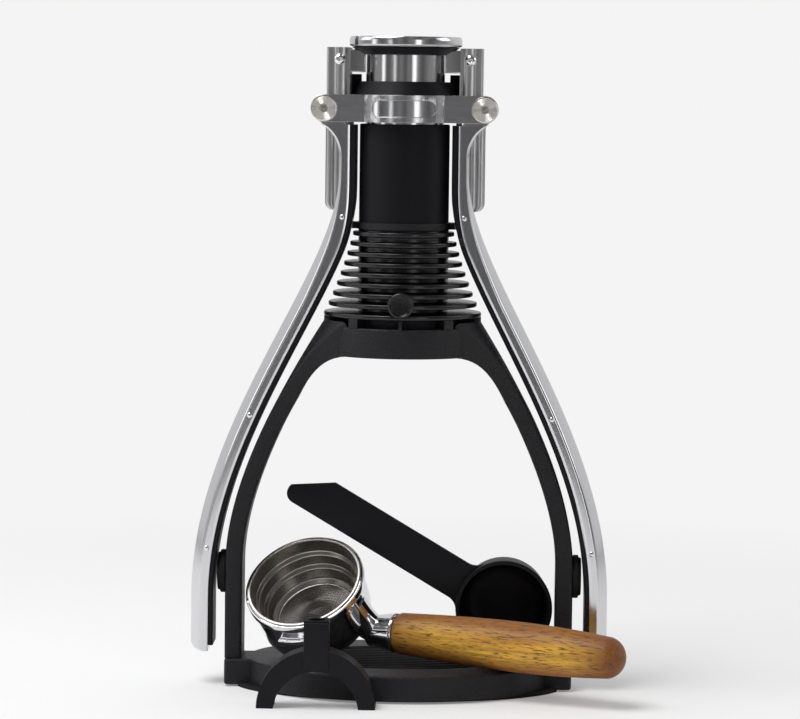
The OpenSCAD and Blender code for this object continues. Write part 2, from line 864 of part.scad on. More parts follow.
module front_band_solid() {
    difference() {
        union() {
            intersection() {
                translate([0, 0, band_z])
                    ring(band_in_r + band_t, band_in_r, band_h);
                translate([-band_mid_w, -through, 0])
                    cube([2 * band_mid_w, through - ear_y, through]);
            }
            both_sides()
                front_slab(band_t, -ear_y - band_t / 2)
                    ear_outline();
        }
        both_sides()
            cross_pin(pin_x, pin_z, pin_r + fit_gap, -through, through);
        translate([0, 0, band_z - eps])
            cylinder(h = band_h + 2 * eps, r = band_in_r);
    }
}

module front_band() {
    color(polished)
        difference() {
            front_band_solid();
            translate([0, 0, band_z])
                intersection() {
                    ring(band_in_r + band_t + eps, band_in_r + band_t - plaque_t, band_h);
                    plaque_outline(fit_gap);
                }
        }
}

module rear_band() {
    color(polished)
        mirror([0, 1, 0])
            front_band_solid();
}

// Stadium on the front of the band that the plaque fills
module plaque_outline(gap) {
    translate([0, 0, band_h / 2])
        rotate([90, 0, 0])
            linear_extrude(through) {
                square([2 * plaque_w - 2 * plaque_h, 2 * plaque_h + 2 * gap], center = true);
                for (x = [plaque_h - plaque_w, plaque_w - plaque_h])
                    translate([x, 0])
                        circle(r = plaque_h + gap);
            }
}

module band_plaque() {
    color(steel)
        translate([0, 0, band_z])
            intersection() {
                ring(band_in_r + band_t - 0.2, band_in_r + band_t - plaque_t + 0.05, band_h);
                plaque_outline(0);
            }
}

module pivot_pins() {
    head_y = -ear_y - band_t;
    color(brass_steel)
        both_sides()
            difference() {
                union() {
                    cross_pin(pin_x, pin_z, pin_r, head_y, rail_back_y + rail_t + nut_t);
                    cross_pin(pin_x, pin_z, pin_head_r, head_y - pin_head_t, head_y);
                }
                cross_pin(pin_x, pin_z, dimple_r,
                    head_y - pin_head_t - eps, head_y - pin_head_t + dimple_d);
            }
}

module pin_nuts() {
    nut_y = rail_back_y + rail_t;
    color(steel)
        both_sides()
            difference() {
                translate([pin_x, nut_y + nut_t, pin_z])
                    rotate([90, 0, 0])
                        cylinder(h = nut_t, r = nut_r, $fn = 6);
                cross_pin(pin_x, pin_z, pin_r + run_gap, nut_y - eps, nut_y + nut_t + eps);
            }
}

// Back plate of a side rail, with the round ear that the pivot pin clamps
module rail_back_outline() {
    difference() {
        union() {
            translate([neck_x, rail_z + rail_end_r])
                square([rail_out_x - neck_x, rail_h - rail_end_r]);
            translate([neck_x, rail_z])
                square([rail_out_x - neck_x - rail_end_r, rail_h]);
            translate([rail_out_x - rail_end_r, rail_z + rail_end_r])
                circle(r = rail_end_r);
            translate([pin_x, pin_z])
                circle(r = ear_r);
            translate([rail_in_x, band_z])
                square([neck_x - rail_in_x + eps, rail_end - band_z]);
        }
        translate([pin_x, pin_z])
            circle(r = pin_r + fit_gap);
    }
}

// Plan of the channel that stands on the bands and hides the rack
module rail_channel_plan() {
    translate([rail_out_x - rail_t, rail_front_y])
        square([rail_t, rail_back_y - rail_front_y + eps]);
    translate([rail_in_x, rail_front_y])
        square([rail_out_x - rail_in_x, rail_t]);
    translate([rail_screw_x, rail_front_y + rail_t / 2])
        circle(r = rail_t);
    translate([rail_out_x - rail_t / 2, rail_front_y + rail_t / 2])
        circle(r = rail_t / 2);
}

module rail() {
    difference() {
        union() {
            front_slab(rail_t, rail_back_y + rail_t / 2)
                rail_back_outline();
            translate([0, 0, band_top])
                linear_extrude(rail_end - band_top)
                    rail_channel_plan();
        }
        cross_pin(rail_screw_x, rail_screw_z, small_screw_r + fit_gap, -through, 0);
        translate([rail_in_x - eps, rail_front_y + rail_t, band_top - eps])
            cube([rail_out_x - rail_t - rail_in_x + eps, rail_t, rail_end - band_top + 2 * eps]);
    }
}

module right_rail() {
    color(polished)
        rail();
}

module left_rail() {
    color(polished)
        mirror([1, 0, 0])
            rail();
}

module rail_screws() {
    head_y = rail_front_y - rail_t / 2;
    color(polished)
        both_sides() {
            cross_pin(rail_screw_x, rail_screw_z, small_screw_r, head_y - eps, rail_front_y + 2 * rail_t);
            intersection() {
                translate([rail_screw_x, head_y + 0.8, rail_screw_z])
                    sphere(r = dome_r);
                cross_pin(rail_screw_x, rail_screw_z, small_head_r, head_y - dome_r, head_y);
            }
        }
}

module rail_lugs() {
    lug_y = rail_front_y + rail_t;
    lug_d = -rack_w / 2 - clear_gap - lug_y;
    color(steel)
        both_sides()
            difference() {
                translate([0, lug_y, lug_z])
                    cube([rail_out_x - rail_t - fit_gap, lug_d, lug_h]);
                cylinder(h = through, r = tube_r + run_gap);
                cross_pin(rail_screw_x, rail_screw_z, small_screw_r + run_gap, -through, through);
            }
}

module funnel() {
    neck_z0 = tube_top - 9;
    r_in = funnel_r - funnel_wall;
    color(polished)
        difference() {
            rotate_extrude($fn = 96)
                polygon([
                    [funnel_neck_r - funnel_wall, neck_z0], [funnel_neck_r, neck_z0],
                    [funnel_neck_r, funnel_rim_z - funnel_fall], [funnel_r, funnel_rim_z],
                    [funnel_r, funnel_top], [r_in, funnel_top],
                    [r_in, funnel_rim_z + funnel_wall / 2],
                    [funnel_neck_r - funnel_wall, funnel_rim_z - funnel_fall + funnel_wall]]);
            translate([-funnel_r + notch_x, -through / 2, funnel_rim_z + funnel_wall / 2])
                cube([notch_w, through, through]);
        }
}

module funnel_ring() {
    hole_r = funnel_neck_r + 1.2;
    top_z = funnel_rim_z - 2 * fit_gap;
    color(black)
        rotate_extrude($fn = 96)
            polygon([
                [hole_r, ring_z + fit_gap], [ring_foot_r, ring_z + fit_gap],
                [ring_top_r, top_z], [hole_r, top_z - funnel_fall]]);
}

module piston_tube() {
    color(steel)
        translate([0, 0, head_top])
            ring(tube_r, tube_in_r, tube_top - head_top);
}

module tube_collar() {
    color(black)
        rotate_extrude($fn = 96)
            polygon([
                [tube_r + run_gap, band_z + 0.3], [band_in_r - fit_gap, band_z + 0.3],
                [band_in_r - fit_gap, cone_z], [cone_foot_r, cone_z],
                [cone_top_r, cone_z + cone_h], [tube_r + run_gap, cone_z + cone_h]]);
}

module piston_head() {
    color(black)
        difference() {
            union() {
                translate([0, 0, piston_z])
                    cylinder(h = head_h, r = tube_r);
                translate([0, 0, head_top - eps])
                    cylinder(h = spigot_h + eps, r = tube_in_r - run_gap);
            }
            for (z = seal_z)
                translate([0, 0, z])
                    ring(tube_r + eps, tube_r - seal_groove, seal_t);
            translate([0, 0, head_top])
                cylinder(h = spigot_h + eps, r = tube_in_r - 2);
            for (a = [0:60:300])
                rotate([0, 0, a])
                    translate([valve_r - 3, 0, 0])
                        cylinder(h = through, r = 1.6);
            cylinder(h = piston_z + head_h / 2, r = small_screw_r + fit_gap);
        }
}

module piston_seals() {
    color(rubber_black)
        for (z = seal_z)
            translate([0, 0, z + 0.05])
                ring(bore_r - run_gap, tube_r - seal_groove + run_gap, seal_t - 0.1);
}

module valve_disc() {
    color(rubber_black)
        translate([0, 0, piston_z - valve_t])
            ring(valve_r, small_screw_r + fit_gap, valve_t);
}

module valve_screw() {
    color(steel)
        translate([0, 0, piston_z - valve_t - 1.4]) {
            cylinder(h = 1.4, r = small_head_r);
            cylinder(h = valve_t + 1 + head_h / 2, r = small_screw_r);
        }
}

// Angle by which an involute has unwound at radius r
function unwind(r) =
    let (a = acos(min(1, base_circle_r / r)))
    tan(a) * 180 / PI - a;

// Half the angle that a pinion tooth covers at radius r
function tooth_half(r) =
    tooth_t / pitch_r * 90 / PI + unwind(pitch_r) - unwind(max(r, base_circle_r));

// Outline of the pinion with one tooth pointing at the rack
module pinion_outline() {
    radii = [for (i = [0:4]) base_circle_r + (pinion_tip_r - base_circle_r) * i / 4];
    circle(r = pinion_root_r);
    for (k = [0:pinion_teeth - 1])
        rotate(180 + k * 360 / pinion_teeth)
            polygon(concat(
                [[0, 0]],
                [for (r = radii) r * [cos(tooth_half(r)), -sin(tooth_half(r))]],
                [for (r = reversed(radii)) r * [cos(tooth_half(r)), sin(tooth_half(r))]]));
}

module pinion() {
    difference() {
        front_slab(pinion_w)
            translate([pin_x, pin_z])
                pinion_outline();
        cross_pin(pin_x, pin_z, pin_r + run_gap, -through, through);
    }
}

module right_pinion() {
    color(dark_steel)
        pinion();
}

module left_pinion() {
    color(dark_steel)
        mirror([1, 0, 0])
            pinion();
}

// Metal arm seen from the front: shoulder, neck, long curve and rounded tip
module arm_outline() {
    tip = arc([arm_low_x - lever_tip_r, lever_tip_z + lever_tip_r], lever_tip_r, 0, -90, 6);
    flare_end = acos(1 - (shoulder_x - neck_x) / flare_r);
    flare = arc([neck_x + flare_r, flare_start_z], flare_r, 180 - flare_end, 180, 10);
    polygon(concat(
        [[shoulder_x, shoulder_z]], flare, arm_edge(0), tip,
        [[arm_low_x - arm_t, lever_tip_z]], reversed(arm_edge(arm_t)),
        [[neck_x - neck_t, shoulder_z]]));
}

module hub_outline() {
    translate([pin_x, pin_z])
        circle(r = hub_r);
    polygon([
        [neck_x - neck_t + 1, shoulder_z - 1], [shoulder_x - 0.5, shoulder_z - 1],
        [pin_x + hub_r - 1, pin_z - 2], [pin_x, pin_z], [pin_x - hub_r, pin_z]]);
}

// Centre slot of a lever that straddles the rack
module fork_slot() {
    translate([0, -fork_w / 2, fork_z])
        cube([fork_web_x, fork_w, through]);
    translate([0, -fork_w / 2, shoulder_z - 3])
        cube([through, fork_w, through]);
}

module arm() {
    difference() {
        union() {
            front_slab(lever_d)
                arm_outline();
            front_slab(lever_d)
                hub_outline();
        }
        fork_slot();
        cross_pin(pin_x, pin_z, pin_r + run_gap, -through, through);
        rivet_places()
            cylinder(h = through, r = rivet_r + run_gap, center = true);
    }
}

module right_arm() {
    color(polished)
        arm();
}

module left_arm() {
    color(polished)
        mirror([1, 0, 0])
            arm();
}

module liner() {
    color(black)
        difference() {
            front_slab(lever_d - 1)
                polygon(concat(
                    [[neck_x - neck_t - fit_gap, shoulder_z]], arm_edge(arm_t + fit_gap),
                    [[arm_low_x - arm_t - fit_gap, lever_tip_z + 1],
                        [arm_low_x - arm_t - liner_t, lever_tip_z + 2]],
                    reversed(arm_edge(arm_t + liner_t)),
                    [[neck_x - neck_t - liner_t, shoulder_z]]));
            fork_slot();
        }
}

module right_liner() {
    liner();
}

module left_liner() {
    mirror([1, 0, 0])
        liner();
}

// Places of the cross rivets
module rivet_places() {
    for (t = rivet_at)
        let (p = bend3(arm_p0, arm_p1, arm_p2, arm_p3, t)
            + arm_depth(t, arm_t * 0.7) * inward(bend3_dir(arm_p0, arm_p1, arm_p2, arm_p3, t)))
            translate([p[0], 0, p[1]])
                rotate([90, 0, 0])
                    children();
}

module rivets() {
    color(steel)
        rivet_places()
            cylinder(h = lever_d + 0.4, r = rivet_r, center = true);
}

module right_rivets() {
    rivets();
}

module left_rivets() {
    mirror([1, 0, 0])
        rivets();
}

// Children turned from an upright portafilter to the way it lies
module lay_portafilter() {
    translate([bowl_x, bowl_y, bowl_z])
        rotate([bowl_lean, bowl_droop, bowl_swing])
            children();
}

module portafilter_bowl() {
    color(polished)
        lay_portafilter()
            difference() {
                union() {
                    rotate_extrude($fn = 96)
                        polygon(concat(
                            [[0, -bowl_h]], bowl_side, [[0, 0]]));
                    for (side = [90, 270])
                        rotate([0, 0, side])
                            intersection() {
                                translate([0, -lug_w / 2, -lug_drop - lug_t])
                                    cube([bowl_r + lug_out, lug_w, lug_t]);
                                cylinder(h = through, r = bowl_r + lug_out, center = true);
                            }
                    translate([neck_root_x, 0, -grip_drop])
                        rotate([0, -neck_slope, 0])
                            cylinder(h = neck_l, r1 = neck_end_r, r2 = neck_root_r);
                    translate([0, 0, -grip_drop])
                        rotate([0, 90, 0])
                            cylinder(h = ferrule_x, r = neck_end_r);
                    translate([neck_root_x, 0, -grip_drop])
                        sphere(r = neck_end_r);
                }
                rotate_extrude($fn = 96)
                    polygon(bowl_hollow);
                translate([0, 0, -bowl_h - eps])
                    cylinder(h = bowl_h, r = outlet_r);
                translate([ferrule_x - rod_grip, 0, -grip_drop])
                    rotate([0, 90, 0])
                        cylinder(h = rod_grip + eps, r = rod_r + run_gap);
            }
}

module filter_basket() {
    color(steel)
        lay_portafilter()
            rotate_extrude($fn = 96)
                polygon([
                    [bowl_r - rim_edge, 0], [bowl_r - rim_edge, basket_flange_t],
                    [basket_r, basket_flange_t],
                    [basket_r, step_z_1], [step_r_1, step_z_1 - 1], [step_r_1, step_z_2],
                    [step_r_2, step_z_2 - 1], [step_r_2, 2 - basket_h], [step_r_2 - 2, -basket_h],
                    [0, -basket_h], [0, -basket_h - basket_wall],
                    [step_r_2 - 2 + basket_wall, -basket_h - basket_wall],
                    [step_r_2 + basket_wall, 2 - basket_h], [step_r_2 + basket_wall, step_z_2 - 1],
                    [step_r_1 + basket_wall, step_z_2], [step_r_1 + basket_wall, step_z_1 - 1],
                    [basket_r + basket_wall, step_z_1], [basket_r + basket_wall, 0]]);
}

// Split wire ring that holds the basket in the bowl, below its first step
module basket_clip() {
    color(steel)
        lay_portafilter()
            translate([0, 0, -clip_drop])
                rotate_extrude(angle = 330)
                    translate([step_r_1 + basket_wall + clip_wire + run_gap, 0])
                        circle(r = clip_wire, $fn = 16);
}

module handle_ferrule() {
    color(polished)
        lay_portafilter()
            translate([ferrule_x, 0, -grip_drop])
                rotate([0, 90, 0])
                    difference() {
                        union() {
                            cylinder(h = ferrule_l - ferrule_land, r1 = neck_end_r + ferrule_step, r2 = ferrule_r);
                            cylinder(h = ferrule_l, r = ferrule_r - 2 * ferrule_step);
                        }
                        translate([0, 0, -eps])
                            cylinder(h = ferrule_l + 2 * eps, r = rod_r + run_gap);
                    }
}

module handle_rod() {
    color(dark_steel)
        lay_portafilter()
            translate([ferrule_x - rod_grip + rod_play, 0, -grip_drop])
                rotate([0, 90, 0])
                    cylinder(h = rod_l, r = rod_r);
}

module wooden_handle() {
    color(wood)
        lay_portafilter()
            translate([grip_x, 0, -grip_drop])
                rotate([0, 90, 0])
                    difference() {
                        rotate_extrude($fn = 64)
                            polygon(concat(
                                [[0, 0], [grip_neck_r - grip_edge, 0], [grip_neck_r, grip_edge]],
                                [for (i = [1:grip_steps])
                                    bend2([grip_neck_r, grip_edge], [grip_r, grip_l * grip_swell],
                                        [grip_r, grip_l - grip_end_r], i / grip_steps)],
                                arc([grip_r - grip_end_r, grip_l - grip_end_r], grip_end_r, 0, 90, grip_steps),
                                [[0, grip_l]]));
                        translate([0, 0, -eps])
                            cylinder(h = rod_l - rod_grip - ferrule_l + rod_end_gap, r = rod_r + fit_gap);
                    }
}

module twin_spout() {
    wall = 2;
    channel_w = spout_d - 2 * wall;
    color(black)
        translate([spout_x, spout_y, 0])
            difference() {
                union() {
                    front_slab(spout_d)
                        difference() {
                            circle(r = spout_r);
                            translate([0, spout_in_z])
                                circle(r = spout_in_r);
                            translate([-through / 2, -through])
                                square([through, through]);
                        }
                    translate([-tower_w / 2, -tower_w / 2, spout_r - spout_t + 2])
                        cube([tower_w, tower_w, tower_z - spout_r + spout_t - 2]);
                }
                front_slab(channel_w)
                    difference() {
                        translate([0, spout_in_z])
                            circle(r = spout_in_r + spout_foot_w - wall - 1);
                        translate([-through / 2, -through])
                            square([through, through + eps]);
                    }
                cylinder(h = through, r = tower_bore_r);
            }
}

// Flat handle of the scoop, with its slanted end
module scoop_strip() {
    half = scoop_w / 2;
    tip_r = 4;
    polygon(concat(
        [[0, half], [scoop_l - scoop_w, half], [scoop_l - tip_r * 0.4, -half + tip_r * 2.2]],
        arc([scoop_l - tip_r * 1.4, -half + tip_r * 1.2], tip_r * 1.2, 20, -90, 6),
        [[0, -half]]));
}

module scoop() {
    color(black)
        translate([scoop_x, 0, scoop_z])
            difference() {
                union() {
                    cross_pin(0, 0, cup_r, scoop_y, scoop_y + cup_h);
                    front_slab(scoop_t, scoop_y + scoop_set + scoop_t / 2)
                        mirror([1, 0])
                            rotate(scoop_rise)
                                scoop_strip();
                }
                cross_pin(0, 0, cup_r - cup_wall, scoop_y - eps, scoop_y + cup_h - cup_wall);
            }
}

base_plate();
base_sole();
drip_mat();
frame_casting();
leg_screws();
lever_bumpers();
chamber();
medallion();
chamber_screws();
group_ring();
group_gasket();
shower_screen();
rack_carrier();
left_rack();
right_rack();
rack_screws();
front_band();
rear_band();
band_plaque();
pivot_pins();
pin_nuts();
left_rail();
right_rail();
rail_screws();
rail_lugs();
funnel();
funnel_ring();
piston_tube();
tube_collar();
piston_head();
piston_seals();
valve_disc();
valve_screw();
left_arm();
left_liner();
left_pinion();
left_rivets();
right_arm();
right_liner();
right_pinion();
right_rivets();
portafilter_bowl();
filter_basket();
basket_clip();
handle_ferrule();
handle_rod();
wooden_handle();
twin_spout();
scoop();
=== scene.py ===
# %% [markdown]
# A hand-powered espresso maker is dressed here around its fixed CAD frame. The frame gives every
# joint and place, and this lesson adds finer shapes, finishes and light. Lengths in the cells are
# millimetres, and become metres where a mesh is made.

# %% Load the frame
import json
import math
import bmesh
import bpy
import numpy as np
from mathutils import Matrix, Vector


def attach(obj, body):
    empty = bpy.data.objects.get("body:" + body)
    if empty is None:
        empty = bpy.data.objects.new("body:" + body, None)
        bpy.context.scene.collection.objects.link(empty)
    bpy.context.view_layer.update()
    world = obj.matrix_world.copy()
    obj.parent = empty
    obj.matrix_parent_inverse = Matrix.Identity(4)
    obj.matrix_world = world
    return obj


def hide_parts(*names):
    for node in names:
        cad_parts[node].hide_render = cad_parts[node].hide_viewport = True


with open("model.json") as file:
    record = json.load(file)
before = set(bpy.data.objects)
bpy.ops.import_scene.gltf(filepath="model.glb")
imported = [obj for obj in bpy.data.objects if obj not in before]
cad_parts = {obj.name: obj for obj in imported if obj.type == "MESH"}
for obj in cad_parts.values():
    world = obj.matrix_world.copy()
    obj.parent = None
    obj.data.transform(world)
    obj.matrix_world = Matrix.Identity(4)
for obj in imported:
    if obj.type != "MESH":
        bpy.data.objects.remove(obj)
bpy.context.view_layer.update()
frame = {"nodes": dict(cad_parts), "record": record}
scene = bpy.context.scene
record = frame["record"]
bodies = record["behaviour"]["bodies"]
body_of_node = {node: body for body, nodes in bodies.items() for node in nodes}
slot_of_node = {part["node"]: part["material_slot"] for part in record["subparts"]}
MM = 0.001

# %% [markdown]
# A finish is one Principled shader, and small helpers add the nodes that vary it. Each helper takes
# the material's node tree, and a value for a node may be a constant or the output of another node.
# Patterns read Object coordinates or an attribute of the mesh, so they stay on the piece.

# %% Material helpers
def new_finish(name, color, metallic=0.0, roughness=0.5, specular=0.5, anisotropy=0.0):
    """A material, its node tree and its Principled shader; constants are set on its own sockets."""
    mat = bpy.data.materials.new(name)
    mat.use_nodes = True
    shader = mat.node_tree.nodes["Principled BSDF"]
    shader.inputs["Base Color"].default_value = (*color, 1)
    shader.inputs["Metallic"].default_value = metallic
    shader.inputs["Roughness"].default_value = roughness
    shader.inputs["Specular IOR Level"].default_value = specular
    shader.inputs["Anisotropic"].default_value = anisotropy
    return mat, mat.node_tree, shader


def feed(tree, socket, value):
    """Links another node's output to the socket, or sets the socket's own constant."""
    if isinstance(value, bpy.types.NodeSocket):
        tree.links.new(value, socket)
    else:
        socket.default_value = value


def object_place(tree):
    """Object coordinates, which are metres in the frame that all pieces share."""
    return tree.nodes.new("ShaderNodeTexCoord").outputs["Object"]


def noise(tree, where, scale, stretch=(1, 1, 1), detail=3.0):
    """Noise of the place times the stretch, in cycles per metre."""
    mapping = tree.nodes.new("ShaderNodeMapping")
    texture = tree.nodes.new("ShaderNodeTexNoise")
    feed(tree, mapping.inputs["Vector"], where)
    feed(tree, mapping.inputs["Scale"], stretch)
    feed(tree, texture.inputs["Vector"], mapping.outputs["Vector"])
    feed(tree, texture.inputs["Scale"], scale)
    feed(tree, texture.inputs["Detail"], detail)
    return texture.outputs["Fac"]


def ramp(tree, source, low, high, start=0.3, end=0.7):
    """Map Range: values of the source between start and end become values between low and high."""
    node = tree.nodes.new("ShaderNodeMapRange")
    for name, value in (("Value", source), ("From Min", start), ("From Max", end),
                        ("To Min", low), ("To Max", high)):
        feed(tree, node.inputs[name], value)
    return node.outputs["Result"]


print("finishes before the first:", len(bpy.data.materials))

# %% [markdown]
# The levers are polished aluminium, and the bands, rails and funnel are brushed or turned steel.
# Polishing always leaves some direction, which an image texture could show. A noise stretched along
# one axis does it without a file: its streaks go into the roughness and break up reflections.

# %% Metal finishes
ALONG_Z, ACROSS_Z, TURNED_Z, MACHINED_Z = (1, 1, 0.03), (0.05, 0.05, 1), (1, 1, 0.02), (1, 1, 0.1)


def streaked_metal(name, color, low, high, stretch, scale=900):
    """Metal whose roughness runs from low to high in streaks along the least stretched axis."""
    mat, tree, shader = new_finish(name, color, metallic=1.0, roughness=(low + high) / 2)
    streaks = noise(tree, object_place(tree), scale, stretch)
    feed(tree, shader.inputs["Roughness"], ramp(tree, streaks, low, high))
    return mat


polished_aluminium = streaked_metal(
    "polished aluminium", (0.67, 0.67, 0.69), 0.15, 0.19, ALONG_Z, 1500)
band_metal = streaked_metal("satin band", (0.62, 0.61, 0.63), 0.20, 0.27, ACROSS_Z, 1800)
rail_metal = streaked_metal("satin rail", (0.60, 0.59, 0.59), 0.28, 0.36, ALONG_Z, 1500)
turned_steel = streaked_metal("turned steel", (0.66, 0.66, 0.67), 0.13, 0.20, TURNED_Z)
dark_steel = streaked_metal("machined steel", (0.30, 0.30, 0.32), 0.30, 0.45, MACHINED_Z)
chrome = new_finish("chrome plate", (0.80, 0.80, 0.81), metallic=1.0, roughness=0.06)[0]
print("metals:", polished_aluminium.name, band_metal.name, turned_steel.name, chrome.name)

# %% [markdown]
# The frame is painted black, the chamber is coated, and the loose pieces are plastic or rubber.
# A plain black would look like a hole in the picture. A fine grain in the bump and the roughness
# breaks the light up as textured paint does, and each black has its own grain and gloss.

# %% Black finishes
GRAIN_STRENGTH, GLOSS_SPREAD = 0.5, 0.08


def bump(tree, shader, height, strength, distance, dents=False):
    """Height times distance in metres, read by the shader as a bump, or downwards as dents."""
    node = tree.nodes.new("ShaderNodeBump")
    node.invert = dents
    for name, value in (("Strength", strength), ("Distance", distance), ("Height", height)):
        feed(tree, node.inputs[name], value)
    feed(tree, shader.inputs["Normal"], node.outputs["Normal"])


def grained_black(name, color, roughness, grain, scale, specular):
    """Near-black paint or plastic; a random grain, in metres, is in its bump and roughness."""
    mat, tree, shader = new_finish(name, color, roughness=roughness, specular=specular)
    specks = noise(tree, object_place(tree), scale, detail=2.0)
    bump(tree, shader, specks, GRAIN_STRENGTH, grain)
    spread = ramp(tree, specks, roughness - GLOSS_SPREAD, roughness + GLOSS_SPREAD)
    feed(tree, shader.inputs["Roughness"], spread)
    return mat


black_casting = grained_black("textured black paint", (0.0058, 0.0056, 0.0078),
                              roughness=0.47, grain=0.0010, scale=1500, specular=0.34)
black_fins = grained_black("glossy black coat", (0.006, 0.006, 0.007),
                           roughness=0.26, grain=0.00002, scale=3000, specular=0.5)
black_chamber = grained_black("satin black coat", (0.0050, 0.0048, 0.0066),
                              roughness=0.50, grain=0.00004, scale=3000, specular=0.17)
black_plastic = grained_black("matte black plastic", (0.0068, 0.0066, 0.0092),
                              roughness=0.5, grain=0.00005, scale=2500, specular=0.2)
black_rubber = grained_black("black rubber", (0.008, 0.008, 0.008),
                             roughness=0.7, grain=0.0001, scale=1800, specular=0.2)
print("blacks:", black_casting.name, black_chamber.name, black_plastic.name, black_rubber.name)

# %% [markdown]
# Screws, seals, racks and other inner pieces keep their CAD shape. Each gets the finish of its
# material slot. The wood slot's only piece is replaced further down, so its finish isn't seen here.

# %% Paint the CAD nodes
slot_finish = {
    "black_paint": black_casting, "black_chamber": black_chamber, "rubber": black_rubber,
    "dark_steel": dark_steel, "brushed_steel": turned_steel, "chrome": chrome,
    "polished_aluminium": polished_aluminium, "black_plastic": black_plastic, "wood": black_plastic,
}
for name, obj in frame["nodes"].items():
    obj.data.materials.clear()
    obj.data.materials.append(slot_finish[slot_of_node[name]])
print("painted", len(frame["nodes"]), "CAD nodes")

# %% [markdown]
# A surface can be a grid: rows of points, each row joined to the next by quads. A part is a pair of
# points and faces. One helper lists a grid's quads, and two turn a part into an object that rides
# on its body and stands for a CAD node. Working on whole arrays keeps them short.

# %% Grid and object helpers
MERGE, THIN = 1e-6, 1e-7


def grid_quads(rows, cols, wrap_rows=False):
    """Quads from point (r, c) to (r, c+1), (r+1, c+1) and (r+1, c); each row closes in a ring."""
    r, c = np.meshgrid(np.arange(rows if wrap_rows else rows - 1), np.arange(cols), indexing="ij")
    r2, c2 = (r + 1) % rows, (c + 1) % cols
    quads = np.stack([r * cols + c, r * cols + c2, r2 * cols + c2, r2 * cols + c], axis=-1)
    return quads.reshape(-1, 4).tolist()


def as_points(points):
    """Any array of points as one list of (x, y, z)."""
    return np.asarray(points, float).reshape(-1, 3)


def dressed(name, mesh, material, node, crease):
    """The mesh as an object in a node's place: on its body, smooth up to the crease angle."""
    mesh.polygons.foreach_set("use_smooth", np.ones(len(mesh.polygons), bool))
    mesh.set_sharp_from_angle(angle=math.radians(crease))
    mesh.materials.clear()
    mesh.materials.append(material)
    obj = bpy.data.objects.new(name, mesh)
    scene.collection.objects.link(obj)
    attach(obj, body_of_node[node])
    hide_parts(node)
    print("piece", name, len(mesh.polygons), "faces")
    return obj


def piece(name, part, material, node, crease=38):
    """An object at the origin from a part in mm; doubles are merged, so poles and seams close."""
    points, faces = part
    mesh = bpy.data.meshes.new(name)
    mesh.from_pydata((as_points(points) * MM).tolist(), [], faces)
    bm = bmesh.new()
    bm.from_mesh(mesh)
    bmesh.ops.remove_doubles(bm, verts=bm.verts, dist=MERGE)
    bmesh.ops.dissolve_degenerate(bm, dist=THIN, edges=bm.edges)
    bmesh.ops.recalc_face_normals(bm, faces=bm.faces)
    bm.to_mesh(mesh)
    bm.free()
    return dressed(name, mesh, material, node, crease)


print("a ring of 3 rows by 8 points has", len(grid_quads(3, 8)), "quads")

# %% [markdown]
# Two ways of making a solid come up again and again. A lathe turns a profile about an axis, as a
# real turned or spun piece is made. A carried section draws a closed outline along a path, as in an
# extrusion. A profile's corners are cut to small arcs first, because no real edge is sharp.

# %% Lathe, carried section and rounded profile
ARC_REACH = 0.45


def lathe(profile, steps=96, closed=False):
    """Point (r, z) of the profile at angle a stands at (r cos a, r sin a, z)."""
    r, z = np.asarray(profile, float).T
    a = np.linspace(0, 2 * np.pi, steps, endpoint=False)
    points = np.stack([np.outer(r, np.cos(a)), np.outer(r, np.sin(a)),
                       np.outer(z, np.ones(steps))], axis=-1)
    return points, grid_quads(len(r), steps, wrap_rows=closed)


def carried(sections):
    """Closed outlines, one per row, joined along the path and closed by a face at each end."""
    rows, cols, _ = np.shape(sections)
    ends = [list(range(cols))[::-1], list(range((rows - 1) * cols, rows * cols))]
    return sections, grid_quads(rows, cols) + ends


def rounded(profile, radius, steps=4):
    """The profile with each inner corner b cut to the curve (1-t)^2 p0 + 2t(1-t) b + t^2 p1, where
    p0 and p1 lie on its two sides, at most the radius away."""
    p = np.asarray(profile, float)
    t = np.linspace(0, 1, steps + 1)[:, None]
    out = [p[0]]
    for a, b, c in zip(p[:-2], p[1:-1], p[2:]):
        u, v = a - b, c - b
        lu, lv = np.linalg.norm(u), np.linalg.norm(v)
        d = min(radius, lu * ARC_REACH, lv * ARC_REACH)
        p0, p1 = b + u / lu * d, b + v / lv * d
        out.extend((1 - t) ** 2 * p0 + 2 * t * (1 - t) * b + t ** 2 * p1)
    out.append(p[-1])
    return np.array(out)


print("a corner becomes", len(rounded([(0, 0), (1, 0), (1, 1)], 0.3)) - 2, "points")

# %% [markdown]
# Slabs such as the lever's hub and the scoop's handle are flat outlines with a thickness and softly
# rounded edges. Bevel could round them; here every outline point moves along its corner's bisector,
# which gives the smaller outlines near both faces and needs no modifier.

# %% Rounded slab helper
MITRE_LIMIT = 0.4


def beside(slope):
    """Unit vectors a quarter turn clockwise from each slope (u, v): (v, -u) over its length."""
    length = np.linalg.norm(slope, axis=1, keepdims=True)
    return np.stack([slope[:, 1], -slope[:, 0]], axis=1) / length


def moved_in(outline, distance):
    """Outline moved in by a distance: each point goes along the mitre of its two edge normals."""
    p = np.asarray(outline, float)
    n1, n2 = -beside(p - np.roll(p, 1, axis=0)), -beside(np.roll(p, -1, axis=0) - p)
    mitre = np.maximum(1 + np.sum(n1 * n2, axis=1, keepdims=True), MITRE_LIMIT)
    return p + distance * (n1 + n2) / mitre


